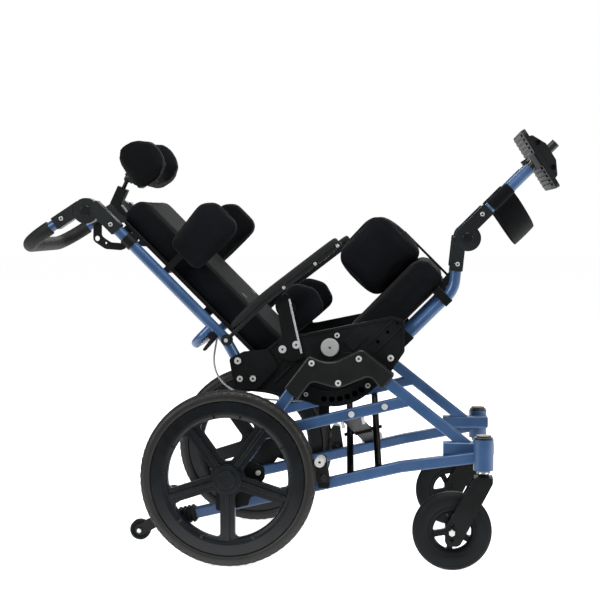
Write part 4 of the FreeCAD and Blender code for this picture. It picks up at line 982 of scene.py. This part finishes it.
HINGE_SCREWS = {"push_handle": [(-236, 654.5, 205)], "legrest": [(461.8, -29, 180)],
                "seat": [(-162.7, 562, 205), (341.3, -70.6, 180)]}
for body, spots in HINGE_SCREWS.items():
    heads, recess_shade = bmesh.new(), bmesh.new()
    for forward, up, y in spots:
        for side in (1, -1):
            out = Vector((0, side, 0))
            small_disc(heads, seat_point(forward, up, side * (y + 0.6)), out, 0.0056, 0.0028, 24)
            # A dark hexagon on each screw head is painted shade in its socket.
            small_disc(recess_shade, seat_point(forward, up, side * (y + 2.1)), out, 0.0024, 0.0004, 6)
    finish_small(heads, "%s_hinge_screws" % body, polished_and_highlight, body)
    finish_small(recess_shade, "%s_hinge_screw_socket_shade" % body, socket_and_hole_shade, body)

LOCK_R = 122.0
LOCK_FIRST = -142.0
LOCK_STEP = 8.64
LOCK_COUNT = 6
LOCK_Y = 190.2
# Near-black discs behind the tilt holes are painted shade inside the holes.
hole_shade = hard_surface("hole_shade", colour(0, 0, 0), colour(3, 3, 4), 0.7, 900.0, 0.00005,
                          specular_ior_level=0.02)
mesh = bmesh.new()
for step in range(LOCK_COUNT):
    turn = math.radians(LOCK_FIRST + LOCK_STEP * step)
    for side in (1, -1):
        small_disc(mesh, seat_point(LOCK_R * math.cos(turn), LOCK_R * math.sin(turn), side * LOCK_Y),
                   Vector((0, side, 0)), 0.0076, 0.0004, 24)
finish_small(mesh, "tilt_hole_shade_discs", hole_shade, "seat")

# Dark discs in the footplate's holes are painted shade inside the holes.
FOOT_HOLES = [(664.1, -1.8), (649.2, -66.1)]
FOOT_HOLE_Y = 172
mesh = bmesh.new()
for forward, up in FOOT_HOLES:
    for side in (1, -1):
        small_disc(mesh, seat_point(forward, up, side * FOOT_HOLE_Y), Vector((0, side, 0)), 0.0064, 0.004, 24)
finish_small(mesh, "footplate_hole_shade_discs", socket_and_hole_shade, "foot_support")

mesh = bmesh.new()
for forward, up, y in SNAPS:
    small_disc(mesh, seat_point(forward, up, y), SEAT_FORWARD, 0.0095, 0.004, 28)
finish_small(mesh, "back_cover_snaps", smooth_plastic, "seat")

# Dark hexagons on the bolt heads are painted shade in their sockets.
for body, spots in SOCKETS.items():
    mesh = bmesh.new()
    for first, second, y in spots:
        for side in (1, -1):
            spot = seat_point(first, second, side * y)
            if body == "base":
                spot = Vector((PIVOT.x + first / 1000, side * y / 1000, second / 1000))
            small_disc(mesh, spot, Vector((0, side, 0)), 0.0032, 0.0004, 6)
    finish_small(mesh, "%s_bolt_socket_shade" % body, socket_and_hole_shade, body)

# Control cable
# Grey sheathed cable from the tilt release lever down to the tilt lock on the right side.
CABLE = [(-266, 524, -174.75), (-272, 494, -173), (-277, 462, -171.5), (-268, 426, -170.5),
         (-240, 398, -170.5), (-196, 380, -170.5), (-140, 372, -170.5), (-84, 370, -170.5),
         (-52, 375, -170.5), (-29.75, 380, -170.5)]
CABLE_THICK = 0.0044
cable_curve = bpy.data.curves.new("control_cable_sheath", "CURVE")
cable_curve.dimensions = "3D"
cable_curve.bevel_depth = CABLE_THICK / 2
cable_curve.bevel_resolution = 4
cable_curve.use_fill_caps = True
spline = cable_curve.splines.new("NURBS")
spline.points.add(len(CABLE) - 1)
for point, (x, z, y) in zip(spline.points, CABLE):
    point.co = (PIVOT.x + x / 1000, y / 1000, z / 1000, 1)
spline.order_u = 3
spline.use_endpoint_u = True
cable = bpy.data.objects.new("control_cable_sheath", cable_curve)
scene.collection.objects.link(cable)
cable_grey = hard_surface("cable_grey", colour(168, 170, 171), colour(206, 208, 208), 0.45, 1500.0, 0.00004)
cable_curve.materials.append(cable_grey)
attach(cable, "base")
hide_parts("control_cable")
